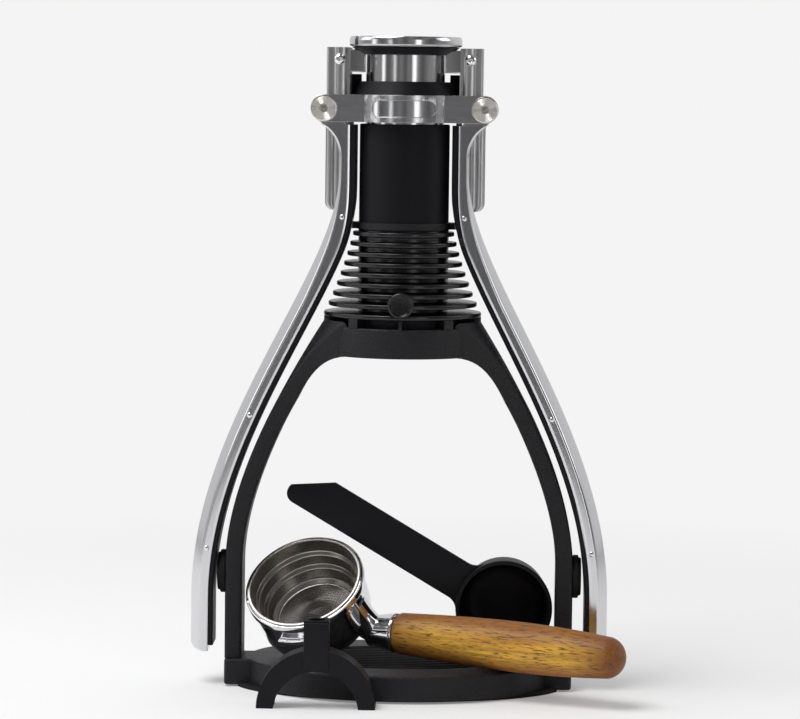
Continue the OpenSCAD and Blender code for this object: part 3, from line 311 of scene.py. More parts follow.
def slab(outline, y0, y1, edge=0.5, steps=4):
    """Outline in (x, z) from depth y0 to y1, with quarter-round edges of the radius edge."""
    p = np.asarray(outline, float)
    area = np.sum(p[:, 0] * np.roll(p[:, 1], -1) - np.roll(p[:, 0], -1) * p[:, 1])
    p = p if area > 0 else p[::-1]
    a = np.linspace(0, np.pi / 2, steps + 1)
    inset = np.concatenate([edge * (1 - np.sin(a)), edge * (1 - np.sin(a))[::-1]])
    depth = np.concatenate([y0 + edge * (1 - np.cos(a)), (y1 - edge * (1 - np.cos(a)))[::-1]])
    rows = [np.insert(moved_in(p, i), 1, d, axis=1) for i, d in zip(inset, depth)]
    return carried(np.array(rows))


def arc(center, radius, start, end, steps=12):
    """Points at the radius about the center between two angles in degrees."""
    a = np.radians(np.linspace(start, end, steps + 1))
    return np.stack([center[0] + radius * np.cos(a), center[1] + radius * np.sin(a)], axis=1)


print("a quarter arc has", len(arc((0, 0), 1, 0, 90)), "points")

# %% [markdown]
# Each lever is a polished bar that drops from its pivot, swings out in a long S and ends beside the
# base. A Bezier curve object could carry it; a cubic worked out here also gives the direction
# towards the machine at every row, which the arm, its liner and its rivets all need.

# %% Lever path
NECK_X, NECK_Z, NECK_T, ARM_T = 29.0, 232.0, 4.7, 8.3
LOW_X, LOW_Z, TIP_Z, TIP_R, SHOULDER_Z = 94.4, 40.0, 15.5, 4.0, 254.0
NECK_BEND, TIP_BEND, NECK_BLEND = 0.23, 0.583, 0.22
TOP_ROWS, CURVE_ROWS, LOW_ROWS, TIP_ROWS = 24, 72, 8, 10


def column(x, z):
    """Pairs (x, z) of one x with each z."""
    return np.stack([np.full(len(z), x), z], axis=1)


def lever_path():
    """Rows of the right lever: place (x, z) and inward direction of its outer face, and its metal
    depth. The middle is (1-t)^3 a + 3t(1-t)^2 b + 3t^2(1-t) c + t^3 d; both ends are straight."""
    span = NECK_Z - LOW_Z
    a, b = np.array([NECK_X, NECK_Z]), np.array([NECK_X, NECK_Z - span * NECK_BEND])
    c, d = np.array([LOW_X, NECK_Z - span * TIP_BEND]), np.array([LOW_X, LOW_Z])
    t = np.linspace(0, 1, CURVE_ROWS)[:, None]
    curve = (1 - t) ** 3 * a + 3 * t * (1 - t) ** 2 * b + 3 * t ** 2 * (1 - t) * c + t ** 3 * d
    slope = (1 - t) ** 2 * (b - a) + 2 * t * (1 - t) * (c - b) + t ** 2 * (d - c)
    ease = np.clip(t[:, 0] / NECK_BLEND, 0, 1)
    depth = NECK_T + (ARM_T - NECK_T) * ease ** 2 * (3 - 2 * ease)
    top = np.linspace(SHOULDER_Z, NECK_Z, TOP_ROWS, endpoint=False)
    tip = TIP_Z + TIP_R * (1 - np.sin(np.linspace(0, np.pi / 2, TIP_ROWS)))
    low = np.concatenate([np.linspace(LOW_Z, TIP_Z + TIP_R, LOW_ROWS, endpoint=False)[1:], tip])
    place = np.concatenate([column(NECK_X, top), curve, column(LOW_X, low)])
    inward = np.concatenate([column(-1.0, 0 * top), beside(slope), column(-1.0, 0 * low)])
    depth = np.concatenate([np.full(len(top), NECK_T), depth, np.full(len(low), ARM_T)])
    return place, inward, depth


def along_path(d, y, rows=slice(None)):
    """Points at depth d in from the lever's outer face and at y, on all rows or some of them."""
    x = path_place[rows, :1] + d * path_in[rows, :1]
    z = path_place[rows, 1:] + d * path_in[rows, 1:]
    return np.stack([x, np.broadcast_to(y, x.shape), z], axis=-1)


path_place, path_in, path_depth = lever_path()
path_z = path_place[:, 1]
print("lever path:", len(path_z), "rows")

# %% [markdown]
# Most pieces are several simple forms together, and many come in pairs, left and right. The forms
# can overlap inside a piece as long as the outside looks whole, so they are only put in one mesh,
# without Boolean. A left piece is the right one mirrored.

# %% Joined and mirrored parts
def merged(*parts):
    """Several parts as one, with the later faces renumbered."""
    points, faces, start = [], [], 0
    for p, f in parts:
        points.append(as_points(p))
        faces += [[i + start for i in face] for face in f]
        start += len(points[-1])
    return np.concatenate(points), faces


def mirrored(part):
    """The same part on the other side of the plane x = 0."""
    points, faces = part
    return as_points(points) * [-1, 1, 1], [face[::-1] for face in faces]


def both_sides(part):
    """The part and its mirror image as one."""
    return merged(part, mirrored(part))


def pair(name, part, material, node, crease=38):
    """The part as the piece right_NAME and its mirror image as left_NAME."""
    piece("right_" + name, part, material, "right_" + node, crease)
    piece("left_" + name, mirrored(part), material, "left_" + node, crease)


print("a mirrored point:", mirrored(([[1, 2, 3]], []))[0][0])

# %% [markdown]
# The arm is one section carried down that path. A broad chamfer along its outer edges catches the
# light, front and back are flat, and a groove inside the neck leaves room for the rack while the
# lever is down. Two cheeks at the top hold the pivot pin.

# %% Lever arms
FLARE_Z, FLARE_R = 240.0, 16.4
FORK_Z, FORK_X, FORK_HALF, HALF_DEPTH = 202.5, 26.2, 3.7, 10.0
CHAMFER_NECK, CHAMFER_GROWTH, CHAMFER_Z, CHAMFER_FADE, INNER_ROOM = 0.4, 0.56, 226, 50, 1.35
PIN_X, PIN_Z, HUB_R = 35.8, 261.4, 5.9
HUB_IN, HUB_OUT, HUB_FOOT = NECK_X - NECK_T + 1, PIN_X + 0.6, SHOULDER_Z - 0.5
broad = rounded([(0.0, -1.2), (0.0, -0.9), (0.5, 0.0), (0.8, 0.0)], 0.21, 7)
narrow = np.array([(-1.2, 0.0), (-1.12, 0.0), (-1.06, -0.01), (-0.16, -0.2), (-0.1, -0.22),
                   (0.0, -0.5), (0.0, -0.56)])


def lever_arm():
    """Section round the arm: outer face at o, a chamfer to the flat front that grows from 0.2 T by
    0.36 T at the neck to 0.48 T by 0.86 T lower down, a narrow one before the inner face at T, the
    groove in that face, and the same again mirrored in y."""
    T = path_depth
    rise = np.clip(path_z - FLARE_Z, 0, FLARE_R)
    fall = np.clip(TIP_Z + TIP_R - path_z, 0, TIP_R)
    o = -(FLARE_R - np.sqrt(FLARE_R ** 2 - rise ** 2))
    o = o + TIP_R - np.sqrt(np.maximum(TIP_R ** 2 - fall ** 2, 0))
    groove = np.where(path_z >= FORK_Z, (path_place[:, 0] - FORK_X) / -path_in[:, 0], T)
    groove = np.minimum(groove, T)
    grown = CHAMFER_NECK + CHAMFER_GROWTH * np.clip((CHAMFER_Z - path_z) / CHAMFER_FADE, 0, 1)
    W = np.minimum(T * grown, (T - INNER_ROOM - o) / broad[-1, 0])
    d_half = np.concatenate([o[:, None] + np.outer(W, broad[:, 0]), T[:, None] + narrow[:, 0],
                             T[:, None], groove[:, None]], axis=1)
    y_inner = np.concatenate([HALF_DEPTH + narrow[:, 1], [FORK_HALF, FORK_HALF]])
    y_half = np.concatenate([HALF_DEPTH + np.outer(W, broad[:, 1]),
                             np.broadcast_to(y_inner, (len(T), len(y_inner)))], axis=1)
    d = np.concatenate([d_half, d_half[:, ::-1]], axis=1)
    y = np.concatenate([y_half, -y_half[:, ::-1]], axis=1)
    return carried(along_path(d, y))


hub_outline = np.concatenate([[[HUB_IN, HUB_FOOT], [HUB_OUT, HUB_FOOT]],
                              arc((PIN_X, PIN_Z), HUB_R, -30, 190, 24)])
cheeks = [slab(hub_outline, FORK_HALF, HALF_DEPTH), slab(hub_outline, -HALF_DEPTH, -FORK_HALF)]
pair("lever_arm", merged(lever_arm(), *cheeks), polished_aluminium, "arm")

# %% [markdown]
# A black liner covers the inner side of each lever. Solidify could thicken a copied face; a thin
# strip carried down the same path stays tight against the arm. At the neck it splits in two, one
# strip on either side of the groove.

# %% Lever liners
LINER_T, LINER_HALF, LINER_GAP, LINER_EDGE, LINER_END = 2.2, 9.5, 0.15, 0.5, 2.4
NECK_MORE, NECK_MORE_Z, NECK_MORE_FADE, STRIP_LAP = 0.7, 210, 12, 3


def liner_strip(rows, y0, y1):
    """A strip from y0 to y1 against the arm's inner face, with softened corners; its thickness
    is LINER_T, and grows by NECK_MORE above NECK_MORE_Z."""
    T = path_depth[rows][:, None]
    grown = np.clip((path_z[rows][:, None] - NECK_MORE_Z) / NECK_MORE_FADE, 0, 1)
    inner = T + (LINER_T + NECK_MORE * grown)
    outer, edge = T + LINER_GAP, inner - LINER_EDGE
    d = np.concatenate([outer, edge, inner, inner, edge, outer], axis=1)
    y = np.array([y1, y1, y1 - LINER_EDGE, y0 + LINER_EDGE, y0, y0])
    return carried(along_path(d, y, rows))


upper = path_z >= FORK_Z
lower = (path_z < FORK_Z + STRIP_LAP) & (path_z > TIP_Z + LINER_END)
liner = merged(liner_strip(upper, FORK_HALF, LINER_HALF),
               liner_strip(upper, -LINER_HALF, -FORK_HALF),
               liner_strip(lower, -LINER_HALF, LINER_HALF))
pair("lever_liner", liner, black_plastic, "liner")

# %% [markdown]
# Three rivets hold arm and liner together, and their small domed ends show on the front of each
# lever. Each rivet is a lathe form laid along Y at a share of the path's curve.

# %% Rivets through the levers
RIVET_SHARES, RIVET_DEPTH = (0.12, 0.62, 0.90), 0.7


def about_y(part, x, z):
    """A lathe part laid along Y: its (x, y, z) becomes (x, z, y), moved to the axis (x, z)."""
    points, faces = part
    return as_points(points)[:, [0, 2, 1]] + [x, 0, z], faces


rivet = rounded([(0.0, -10.5), (0.8, -10.4), (1.3, -10.0), (1.3, 10.0), (0.8, 10.4), (0.0, 10.5)],
                0.3, 3)
rivets = []
for share in RIVET_SHARES:
    row = TOP_ROWS + round(share * (CURVE_ROWS - 1))
    x, z = path_place[row] + RIVET_DEPTH * path_depth[row] * path_in[row]
    rivets.append(about_y(lathe(rivet, 24), x, z))
pair("lever_rivets", merged(*rivets), chrome, "rivets")

# %% [markdown]
# The pressure chamber is a turned tube: smooth above, with cooling fins that widen like a skirt
# towards the frame. One profile goes up the outside over every fin and down the bore. The fins
# shine more than the tube, so the faces below it take a second finish.

# %% Finned chamber
FIN_BASE, FIN_PITCH, FIN_T, FIN_COUNT = 168.4, 4.5, 2.0, 9
FIN_R, FIN_GROWTH, FIN_CURVE, GLOSS_Z = 22.8, 1.1, 0.06, 207.0
CORE_R, BORE_R, BORE_Z, CHAMBER_TOP = 20.3, 18.0, 159.4, 254.5
from_top = np.arange(FIN_COUNT)[::-1]
fin_r = FIN_R + FIN_GROWTH * from_top + FIN_CURVE * from_top ** 2
fin_z = FIN_BASE + FIN_PITCH * np.arange(FIN_COUNT)
fins = np.stack([column(CORE_R, fin_z), np.stack([fin_r, fin_z], 1),
                 np.stack([fin_r, fin_z + FIN_T], 1), column(CORE_R, fin_z + FIN_T)], axis=1)
flange = [[BORE_R, BORE_Z], [21.95, BORE_Z], [21.95, 158.0], [26.0, 158.0], [26.0, 168.3]]
tube = [[20.4, 207.5], [20.2, 207.6], [20.2, CHAMBER_TOP], [BORE_R, CHAMBER_TOP], [BORE_R, BORE_Z]]
chamber_profile = rounded(np.concatenate([flange, fins.reshape(-1, 2), tube]), 0.6, 3)
chamber = piece("finned_chamber", lathe(chamber_profile, 128), black_chamber, "chamber", 50)
chamber.data.materials.append(black_fins)
centers = np.empty(len(chamber.data.polygons) * 3)
chamber.data.polygons.foreach_get("center", centers)
glossy = (centers[2::3] < GLOSS_Z * MM).astype(np.int32)
chamber.data.polygons.foreach_set("material_index", glossy)
print("glossy faces:", glossy.sum())

# %% [markdown]
# Bands, plaque, conical collar and other blocky pieces have the right shape in CAD. They only need
# their edges broken, as castings and machined bars do. Drawing them again would add nothing, so
# each is a copy of its CAD mesh, with the flat faces merged and a Bevel modifier on the edges.

# %% Softened pieces
SOFT_MERGE, FLAT_ANGLE, SOFT_ANGLE = 2e-6, 0.6, 35


def softened(node, material, width, segments):
    """A merged copy of a CAD node whose edges sharper than SOFT_ANGLE are rounded by the width."""
    mesh = frame["nodes"][node].data.copy()
    mesh.name = node + "_soft"
    bm = bmesh.new()
    bm.from_mesh(mesh)
    bmesh.ops.remove_doubles(bm, verts=bm.verts, dist=SOFT_MERGE)
    bmesh.ops.dissolve_limit(bm, angle_limit=math.radians(FLAT_ANGLE),
                             verts=bm.verts, edges=bm.edges)
    bm.to_mesh(mesh)
    bm.free()
    obj = dressed(node + "_soft", mesh, material, node, SOFT_ANGLE)
    bevel = obj.modifiers.new("rounded edges", "BEVEL")
    bevel.width = width * MM
    bevel.segments = segments
    bevel.limit_method = "ANGLE"
    bevel.angle_limit = math.radians(SOFT_ANGLE)
    bevel.use_clamp_overlap = True
    bevel.harden_normals = True


for node, material, width, segments in (
        ("front_band", band_metal, 0.35, 2), ("rear_band", band_metal, 0.35, 2),
        ("band_plaque", turned_steel, 0.15, 2), ("tube_collar", black_chamber, 0.4, 3),
        ("funnel_ring", black_chamber, 0.3, 2), ("lever_bumpers", black_rubber, 0.8, 3),
        ("twin_spout", black_plastic, 0.4, 2)):
    softened(node, material, width, segments)

# %% [markdown]
# The frame is one casting: a collar round the chamber and two arched legs. Curve objects could make
# the legs, but their section changes: it is deep and wrapped round the collar at the top, and
# shallower further down. So each row is worked out, and the rows are joined.

# %% Frame legs
LEG_X, LEG_T, LEG_HALF, LEG_CORNER = 78.5, 7.8, 10.0, 1.5
LEG_BEND_Z, LEG_STRAIGHT_Z, LEG_FOOT_Z = 97.7, 55.0, 12.4
LEG_FLARE, FLARE_SHARE, CROTCH_SHARE, CROTCH_IN, CROTCH_OUT = 15, 0.34, 0.25, 30.4, 37.9
COLLAR_R, COLLAR_Z, COLLAR_TOP = 35.4, 151.2, 168.4
LEG_TOP = (COLLAR_R - 0.4, COLLAR_TOP - 1.7)


def quadratic(a, b, c, t):
    """The curve (1-t)^2 a + 2t(1-t) b + t^2 c at each t."""
    t = np.asarray(t)[:, None]
    return (1 - t) ** 2 * np.array(a) + 2 * t * (1 - t) * np.array(b) + t ** 2 * np.array(c)


def leg_section(p, q, ease):
    """A rounded rectangle from p to q and 2h deep; where ease is 0 it is wrapped round the collar,
    so that x falls by R - sqrt(R^2 - y^2)."""
    h, w, c = LEG_HALF + LEG_FLARE * (1 - ease) ** 2, np.linalg.norm(q - p), LEG_CORNER
    face = np.linspace(-h + c, h - c, 9)[1:-1]
    outline = np.concatenate([
        arc((c, c - h), c, 180, 270, 5), arc((w - c, c - h), c, 270, 360, 5), column(w, face),
        arc((w - c, h - c), c, 0, 90, 5), arc((c, h - c), c, 90, 180, 5), column(0.0, face[::-1])])
    place = p + outline[:, :1] * (q - p) / w
    wrap = (COLLAR_R - np.sqrt(COLLAR_R ** 2 - outline[:, 1] ** 2)) * (1 - ease)
    return np.stack([place[:, 0] - wrap, outline[:, 1], place[:, 1]], axis=1)


def frame_leg(rows=49):
    """Sections between the leg's outer curve and its inner one, which is LEG_T away below the
    crotch and a curve of its own above it."""
    t = np.linspace(0, 1, rows)
    outer = quadratic(LEG_TOP, (LEG_X, LEG_BEND_Z), (LEG_X, LEG_STRAIGHT_Z), t)
    inner = outer + LEG_T * beside(np.gradient(outer, axis=0))
    top = t <= CROTCH_SHARE
    inner[top] = quadratic((CROTCH_IN, COLLAR_Z), (CROTCH_OUT, COLLAR_Z), inner[top][-1],
                           t[top] / t[top][-1])
    low = np.linspace(LEG_STRAIGHT_Z, LEG_FOOT_Z, 9)[1:]
    outer = np.concatenate([outer, column(LEG_X, low)])
    inner = np.concatenate([inner, column(LEG_X - LEG_T, low)])
    ease = np.clip(np.concatenate([t, 1 + 0 * low]) / FLARE_SHARE, 0, 1)
    return carried(np.array([leg_section(p, q, e) for p, q, e in zip(outer, inner, ease)]))


legs = both_sides(frame_leg())
print("legs:", len(legs[1]), "faces")

# %% [markdown]
# The collar is a ring round the chamber. Windows break its top edge, and only short posts between
# them reach full height. Boolean could cut the windows. Here the lathe ring ends below them, and
# each post is swept on top of it through a few degrees, which leaves clean quads.

# %% Collar and whole frame
WINDOW_Z, POST_IN, POST_Z = 164.4, 28.0, 164.0
POST_SPREADS = ((0, 22), (53, 4), (90, 1.1), (127, 4))


def swept(section, start, end, steps):
    """Section points (r, z) at angles from start to end in degrees: (r cos a, r sin a, z)."""
    r, z = np.asarray(section, float).T
    a = np.radians(np.linspace(start, end, steps))[:, None]
    heights = np.broadcast_to(z, (steps, len(z)))
    return carried(np.stack([r * np.cos(a), r * np.sin(a), heights], axis=-1))


ring = [(28.5, WINDOW_Z), (28.5, COLLAR_TOP), (26.3, COLLAR_TOP), (26.3, 161.0), (30.5, 161.0),
        (30.5, COLLAR_Z), (COLLAR_R, COLLAR_Z), (COLLAR_R, WINDOW_Z), (28.5, WINDOW_Z)]
collar = lathe(rounded(ring, 0.9, 4)[:-1], 128, closed=True)
post = rounded([(POST_IN, POST_Z), (COLLAR_R, POST_Z), (COLLAR_R, COLLAR_TOP),
                (POST_IN, COLLAR_TOP), (POST_IN, POST_Z)], 0.5, 3)[:-1]
posts = [swept(post, turn + angle - half, turn + angle + half, 24)
         for turn in (0, 180) for angle, half in POST_SPREADS]
piece("arched_frame", merged(legs, collar, *posts), black_casting, "frame_casting", 45)

# %% [markdown]
# The group ring sits inside the collar, and the portafilter's lugs lock under its two ledges. Ring
# and ledges share a small profile, turned all the way round or swept through part of a turn.

# %% Group ring
GROUP_IN, GROUP_OUT, LEDGE_SPAN, LEDGE_STARTS = 26.2, 30.3, 136, (-68, 112)
bayonet = [(GROUP_IN, 155.4), (GROUP_IN, 153.6), (GROUP_OUT, 153.6), (GROUP_OUT, 155.4),
           (GROUP_IN, 155.4)]
ledge = [(GROUP_IN, 151.7), (GROUP_OUT, 151.7), (GROUP_OUT, 153.8), (GROUP_IN, 153.8)]
ledges = [swept(ledge, start, start + LEDGE_SPAN, 48) for start in LEDGE_STARTS]
group = merged(lathe(rounded(bayonet, 0.3, 2)[:-1], 96, closed=True), *ledges)
piece("bayonet_ring", group, turned_steel, "group_ring", 40)

# %% [markdown]
# A round medallion stands in front of the lowest fins. It is a short turned stud with a raised rim
# round a bare face, laid along Y so that it looks forward.

# %% Medallion
MEDALLION_Z = 175.0
badge = rounded([(0.0, -36.4), (4.2, -36.4), (4.5, -37.2), (5.0, -37.5), (5.5, -37.2), (5.8, -36.4),
                 (5.7, -33.0), (4.6, -32.0), (4.6, -20.5), (0.0, -20.5)], 0.25, 3)
medallion = about_y(lathe(badge, 64), 0.0, MEDALLION_Z)
piece("bare_medallion", medallion, black_fins, "medallion", 40)

# %% [markdown]
# The base is an oval with a square foot under each leg, and a flat rim round a sunk drip area. It
# could be joined from solids with Boolean. Instead, every row of its surface is one outline at
# another size and height: up the outer wall, over the rim, and then the drip area's smaller oval.

# %% Base plate
BASE_W, BASE_D, OVAL_W, FOOT_D, FOOT_SIDE, BASE_H = 157.0, 100.0, 138.0, 25.0, 9.0, 12.5
RIM_W, SUNK_Z, UNDER_Z = 19, 10.3, 0.8
meet = math.degrees(math.asin(FOOT_D / BASE_D))
front_arc = arc((0, 0), 1.0, meet, 180 - meet, 80) * [OVAL_W / 2, BASE_D / 2]
corner = rounded([(BASE_W / 2, 0.0), (BASE_W / 2, FOOT_D / 2), (OVAL_W / 2, FOOT_D / 2)], 2.0, 5)
side = np.linspace((BASE_W / 2, 0.0), (BASE_W / 2, FOOT_SIDE), 6)
quarter = np.concatenate([side, corner[1:-1]])
half = np.concatenate([quarter, front_arc, (quarter * [-1, 1])[::-1][:-1]])
base_outline = np.concatenate([half, -half])


def mat_row(inset, z):
    """Drip area's oval at the height z; its points lie in the same directions as the outline's."""
    a, b = OVAL_W / 2 - RIM_W - inset, BASE_D / 2 - RIM_W - inset
    t = np.arctan2(base_outline[:, 1] / b, base_outline[:, 0] / a)
    return np.stack([a * np.cos(t), b * np.sin(t), np.full(len(t), z)], axis=1)


wall = rounded([(3.0, UNDER_Z), (0.0, UNDER_Z), (0.0, BASE_H), (3.0, BASE_H)], 1.3, 5)
sunk = rounded([(-4.0, BASE_H), (0.0, BASE_H), (0.2, SUNK_Z), (6.0, SUNK_Z)], 0.6, 4)
base_rows = [np.insert(moved_in(base_outline, i), 2, z, axis=1) for i, z in wall]
base_rows += [mat_row(i, z) for i, z in sunk]
piece("base_casting", carried(np.array(base_rows)), black_casting, "base_plate", 40)

# %% [markdown]
# A rubber mat lies in the drip area, with ribs that keep a cup above spilled drops. The ribs are
# slabs and not bump, because they show against the light from low angles. Each ends at the oval.

# %% Drip mat
RIB_PITCH, RIB_REACH, RIB_HALF, RIB_SHORT = 4.5, 27.0, 1.1, 2
MAT_TOP, RIB_TOP = 11.4, 12.0
mat_edge = rounded([(0.4, SUNK_Z), (0.4, MAT_TOP), (1.4, MAT_TOP)], 0.4, 3)
mat = carried(np.array([mat_row(i, z) for i, z in mat_edge]))
rib_y = np.arange(-RIB_REACH, RIB_REACH + 0.1, RIB_PITCH)
rib_x = (OVAL_W / 2 - RIM_W - RIB_SHORT) * np.sqrt(1 - (rib_y / (BASE_D / 2 - RIM_W)) ** 2)
ribs = [slab([(-x, SUNK_Z), (x, SUNK_Z), (x, RIB_TOP), (-x, RIB_TOP)], y - RIB_HALF, y + RIB_HALF)
        for x, y in zip(rib_x, rib_y)]
piece("ribbed_mat", merged(mat, *ribs), black_rubber, "drip_mat", 40)

# %% [markdown]
# The side rails are extruded bars with ribs along their faces. Above the bands each is a channel
# round the rack; below them only its back plate runs on, down behind the lever's neck. An extrusion
# is one outline at two heights, and only the plate's rounded foot needs more rows.

# %% Side rails
RAIL_IN, RAIL_OUT, RAIL_TOP, BAND_TOP, RAIL_FOOT = 24.6, 36.2, 288.5, 267.5, 215.0
RAIL_FRONT, RAIL_BACK, RAIL_T, CHANNEL_OUT, CHANNEL_EDGE = -9.0, 13.0, 2.0, 35.0, 1.0
FOOT_ROUND, EAR_R, PLATE_POINTS, PLATE_END = 4, 6.0, 60, RAIL_BACK + RAIL_T
FRONT_RIB, PLATE_RIBS = ([28.8], 2.9, 1.5), ([30.8, 34.2], 1.6, 0.9)


def ribbed(x, y, centers, radius, height):
    """Face at y with half-round ribs: y falls by height sqrt(1 - ((x - center) / radius)^2)."""
    u = (x[:, None] - np.asarray(centers)[None, :]) / radius
    return y - height * np.sqrt(np.clip(1 - u ** 2, 0, 1)).max(axis=1)


front_x = np.linspace(RAIL_IN, CHANNEL_OUT - CHANNEL_EDGE, 90)
front = np.stack([front_x, ribbed(front_x, RAIL_FRONT, *FRONT_RIB)], axis=1)
turn = arc((CHANNEL_OUT - CHANNEL_EDGE, RAIL_FRONT + CHANNEL_EDGE), CHANNEL_EDGE, -90, 0, 5)
channel = np.concatenate([front, turn, [
    [CHANNEL_OUT, PLATE_END], [RAIL_IN, PLATE_END], [RAIL_IN, RAIL_BACK],
    [CHANNEL_OUT - RAIL_T, RAIL_BACK], [CHANNEL_OUT - RAIL_T, RAIL_FRONT + RAIL_T],
    [RAIL_IN, RAIL_FRONT + RAIL_T]]])
channel_rows = np.array([np.insert(channel, 2, z, axis=1) for z in (BAND_TOP, RAIL_TOP)])
lift = FOOT_ROUND * (1 - np.cos(np.linspace(0, np.pi / 2, 9)))
foot_z = np.concatenate([RAIL_FOOT + lift, [BAND_TOP]])
below = np.clip(RAIL_FOOT + FOOT_ROUND - foot_z, 0, FOOT_ROUND)
foot_out = RAIL_OUT - FOOT_ROUND + np.sqrt(np.maximum(FOOT_ROUND ** 2 - below ** 2, 0))
across = np.linspace(0, 1, PLATE_POINTS)
plate_y = ribbed(NECK_X + across * (RAIL_OUT - NECK_X), RAIL_BACK, *PLATE_RIBS)
plate = np.array([np.concatenate([
    np.stack([NECK_X + across * (out - NECK_X), plate_y, np.full(PLATE_POINTS, z)], axis=1),
    [[out, PLATE_END, z], [NECK_X, PLATE_END, z]]]) for z, out in zip(foot_z, foot_out)])
ear = slab(arc((PIN_X, PIN_Z), EAR_R, 0, 354, 59), RAIL_BACK, PLATE_END, 0.3)
pair("side_rail", merged(carried(channel_rows), carried(plate), ear), rail_metal, "rail", 30)

# %% [markdown]
# Water is poured in through the funnel, whose rim is a rolled lip with two narrow notches. The lip
# is a section carried round the axis in two stretches that leave the notches open; the cone and
# neck under it are a plain lathe form.

# %% Funnel
LIP_STRETCHES = ((152.5, 207.5, 32), (214.5, 505.5, 150))
NECK_IN, NECK_OUT, NECK_END = 15.55, 16.5, 276.4
lip = rounded([(24.0, 289.5), (24.6, 289.2), (25.3, 289.6), (25.3, 292.2), (24.7, 293.5),
               (23.9, 293.6), (23.4, 293.2), (23.8, 291.6), (23.8, 289.6), (24.0, 289.5)], 0.7, 4)
cone = rounded([(NECK_IN, NECK_END), (NECK_OUT, NECK_END), (NECK_OUT, 287.9), (24.6, 289.1),
                (24.6, 289.7), (23.6, 289.7), (NECK_IN, 288.9), (NECK_IN, NECK_END)], 0.3, 2)
rolled = [swept(lip[:-1], *stretch) for stretch in LIP_STRETCHES]
piece("rolled_funnel", merged(lathe(cone, 128), *rolled), turned_steel, "funnel", 40)

# %% [markdown]
# Two flat lugs join the rails to the tube, and the conical collar has a small shoulder beside each
# rail. All are plain blocks with broken edges, so one slab and its mirror image make each pair.

# %% Lugs and shoulders
lug_face = [(17.8, 277.5), (33.8, 277.5), (33.8, 287.6), (17.8, 287.6)]
shoulder_face = [(19.8, 267.5), (24.3, 267.5), (24.3, 276.7), (20.0, 276.7)]
piece("tube_lugs", both_sides(slab(lug_face, -7.0, -3.6)), turned_steel, "rail_lugs", 40)
shoulders = both_sides(slab(shoulder_face, 3.6, 9.0, 0.4))
piece("collar_shoulders", shoulders, black_chamber, "tube_collar", 40)

# %% [markdown]
# A domed screw with a small socket holds each rail to its lug. It is one turned profile, from the
# socket's floor over the dome and back along the shank.

# %% Rail screws
SCREW_X, SCREW_Z = 29.2, 283.2
dome = rounded([(0.0, -11.3), (0.5, -11.3), (0.7, -11.9), (1.7, -11.5), (2.5, -10.6), (2.6, -9.4),
                (1.2, -9.2), (1.2, -5.0), (0.0, -5.0)], 0.4, 3)
screws = both_sides(about_y(lathe(dome, 40), SCREW_X, SCREW_Z))
piece("domed_rail_screws", screws, chrome, "rail_screws", 50)

# %% [markdown]
# The pivot pins' heads were faced on a lathe, which leaves fine circular ridges. Each ridge leans
# outwards and inwards, so a light shows only along its own direction from the middle: a fan. The
# ridges are modelled as they are, a sine wave along the radius.

# %% Pivot pins
HEAD_FRONT, HEAD_BACK, HEAD_R, SHANK_R, PIN_END = -16.3, -13.3, 5.9, 2.5, 17.6
RIDGE_START, RIDGE_PITCH, RIDGE_H, FACE_SINK = 1.9, 0.5, 0.06, 0.07
SOCKET_RIM, SOCKET_FLOOR = HEAD_FRONT + 0.6, HEAD_FRONT + 1.5
spun_steel = new_finish("faced steel", (0.70, 0.68, 0.63), metallic=1.0, roughness=0.22)[0]
r = np.linspace(RIDGE_START, HEAD_R - 0.5, 57)
wave = RIDGE_H * np.sin(2 * np.pi * (r - RIDGE_START) / RIDGE_PITCH)
ridges = np.stack([r, HEAD_FRONT + FACE_SINK + wave], axis=1)
socket = rounded([(0.0, SOCKET_RIM), (0.8, SOCKET_RIM), (0.95, SOCKET_FLOOR), (1.55, SOCKET_FLOOR),
                  (1.7, HEAD_FRONT + FACE_SINK)], 0.12, 2)
shank = rounded([ridges[-1], (HEAD_R, HEAD_FRONT + 0.1), (HEAD_R, HEAD_BACK), (SHANK_R, HEAD_BACK),
                 (SHANK_R, PIN_END), (0.0, PIN_END)], 0.4)
pin = lathe(np.concatenate([socket, ridges[:-1], shank]), 72)
for name, x in (("left", -PIN_X), ("right", PIN_X)):
    piece("pivot_pin_" + name, about_y(pin, x, PIN_Z), spun_steel, "pivot_pins")

# %% [markdown]
# The portafilter lies on the base and leans towards the viewer. Its pieces are turned upright, then
# laid down by one rotation and one shift. Each keeps its upright coordinates as an attribute, so
# that polishing marks and wood grain follow the piece instead of the room.

# %% Laying pieces down
LAY_TURN, LAY_TILT, LAY_TIP = math.radians(-23.3), math.radians(1.6), math.radians(41)
LAY = np.array(Matrix.Rotation(LAY_TURN, 3, "Z") @ Matrix.Rotation(LAY_TILT, 3, "Y")
               @ Matrix.Rotation(LAY_TIP, 3, "X"))
RIM, DROP = np.array([-42.5, -13.0, 48.276]), 28.8


def laid(part):
    """Upright points p at LAY p + RIM."""
    points, faces = part
    return as_points(points) @ LAY.T + RIM, faces


def along_handle(part):
    """A lathe part turned onto the handle's axis: its z runs along x, DROP below the rim."""
    points, faces = part
    return as_points(points)[:, [2, 0, 1]] - [0, 0, DROP], faces


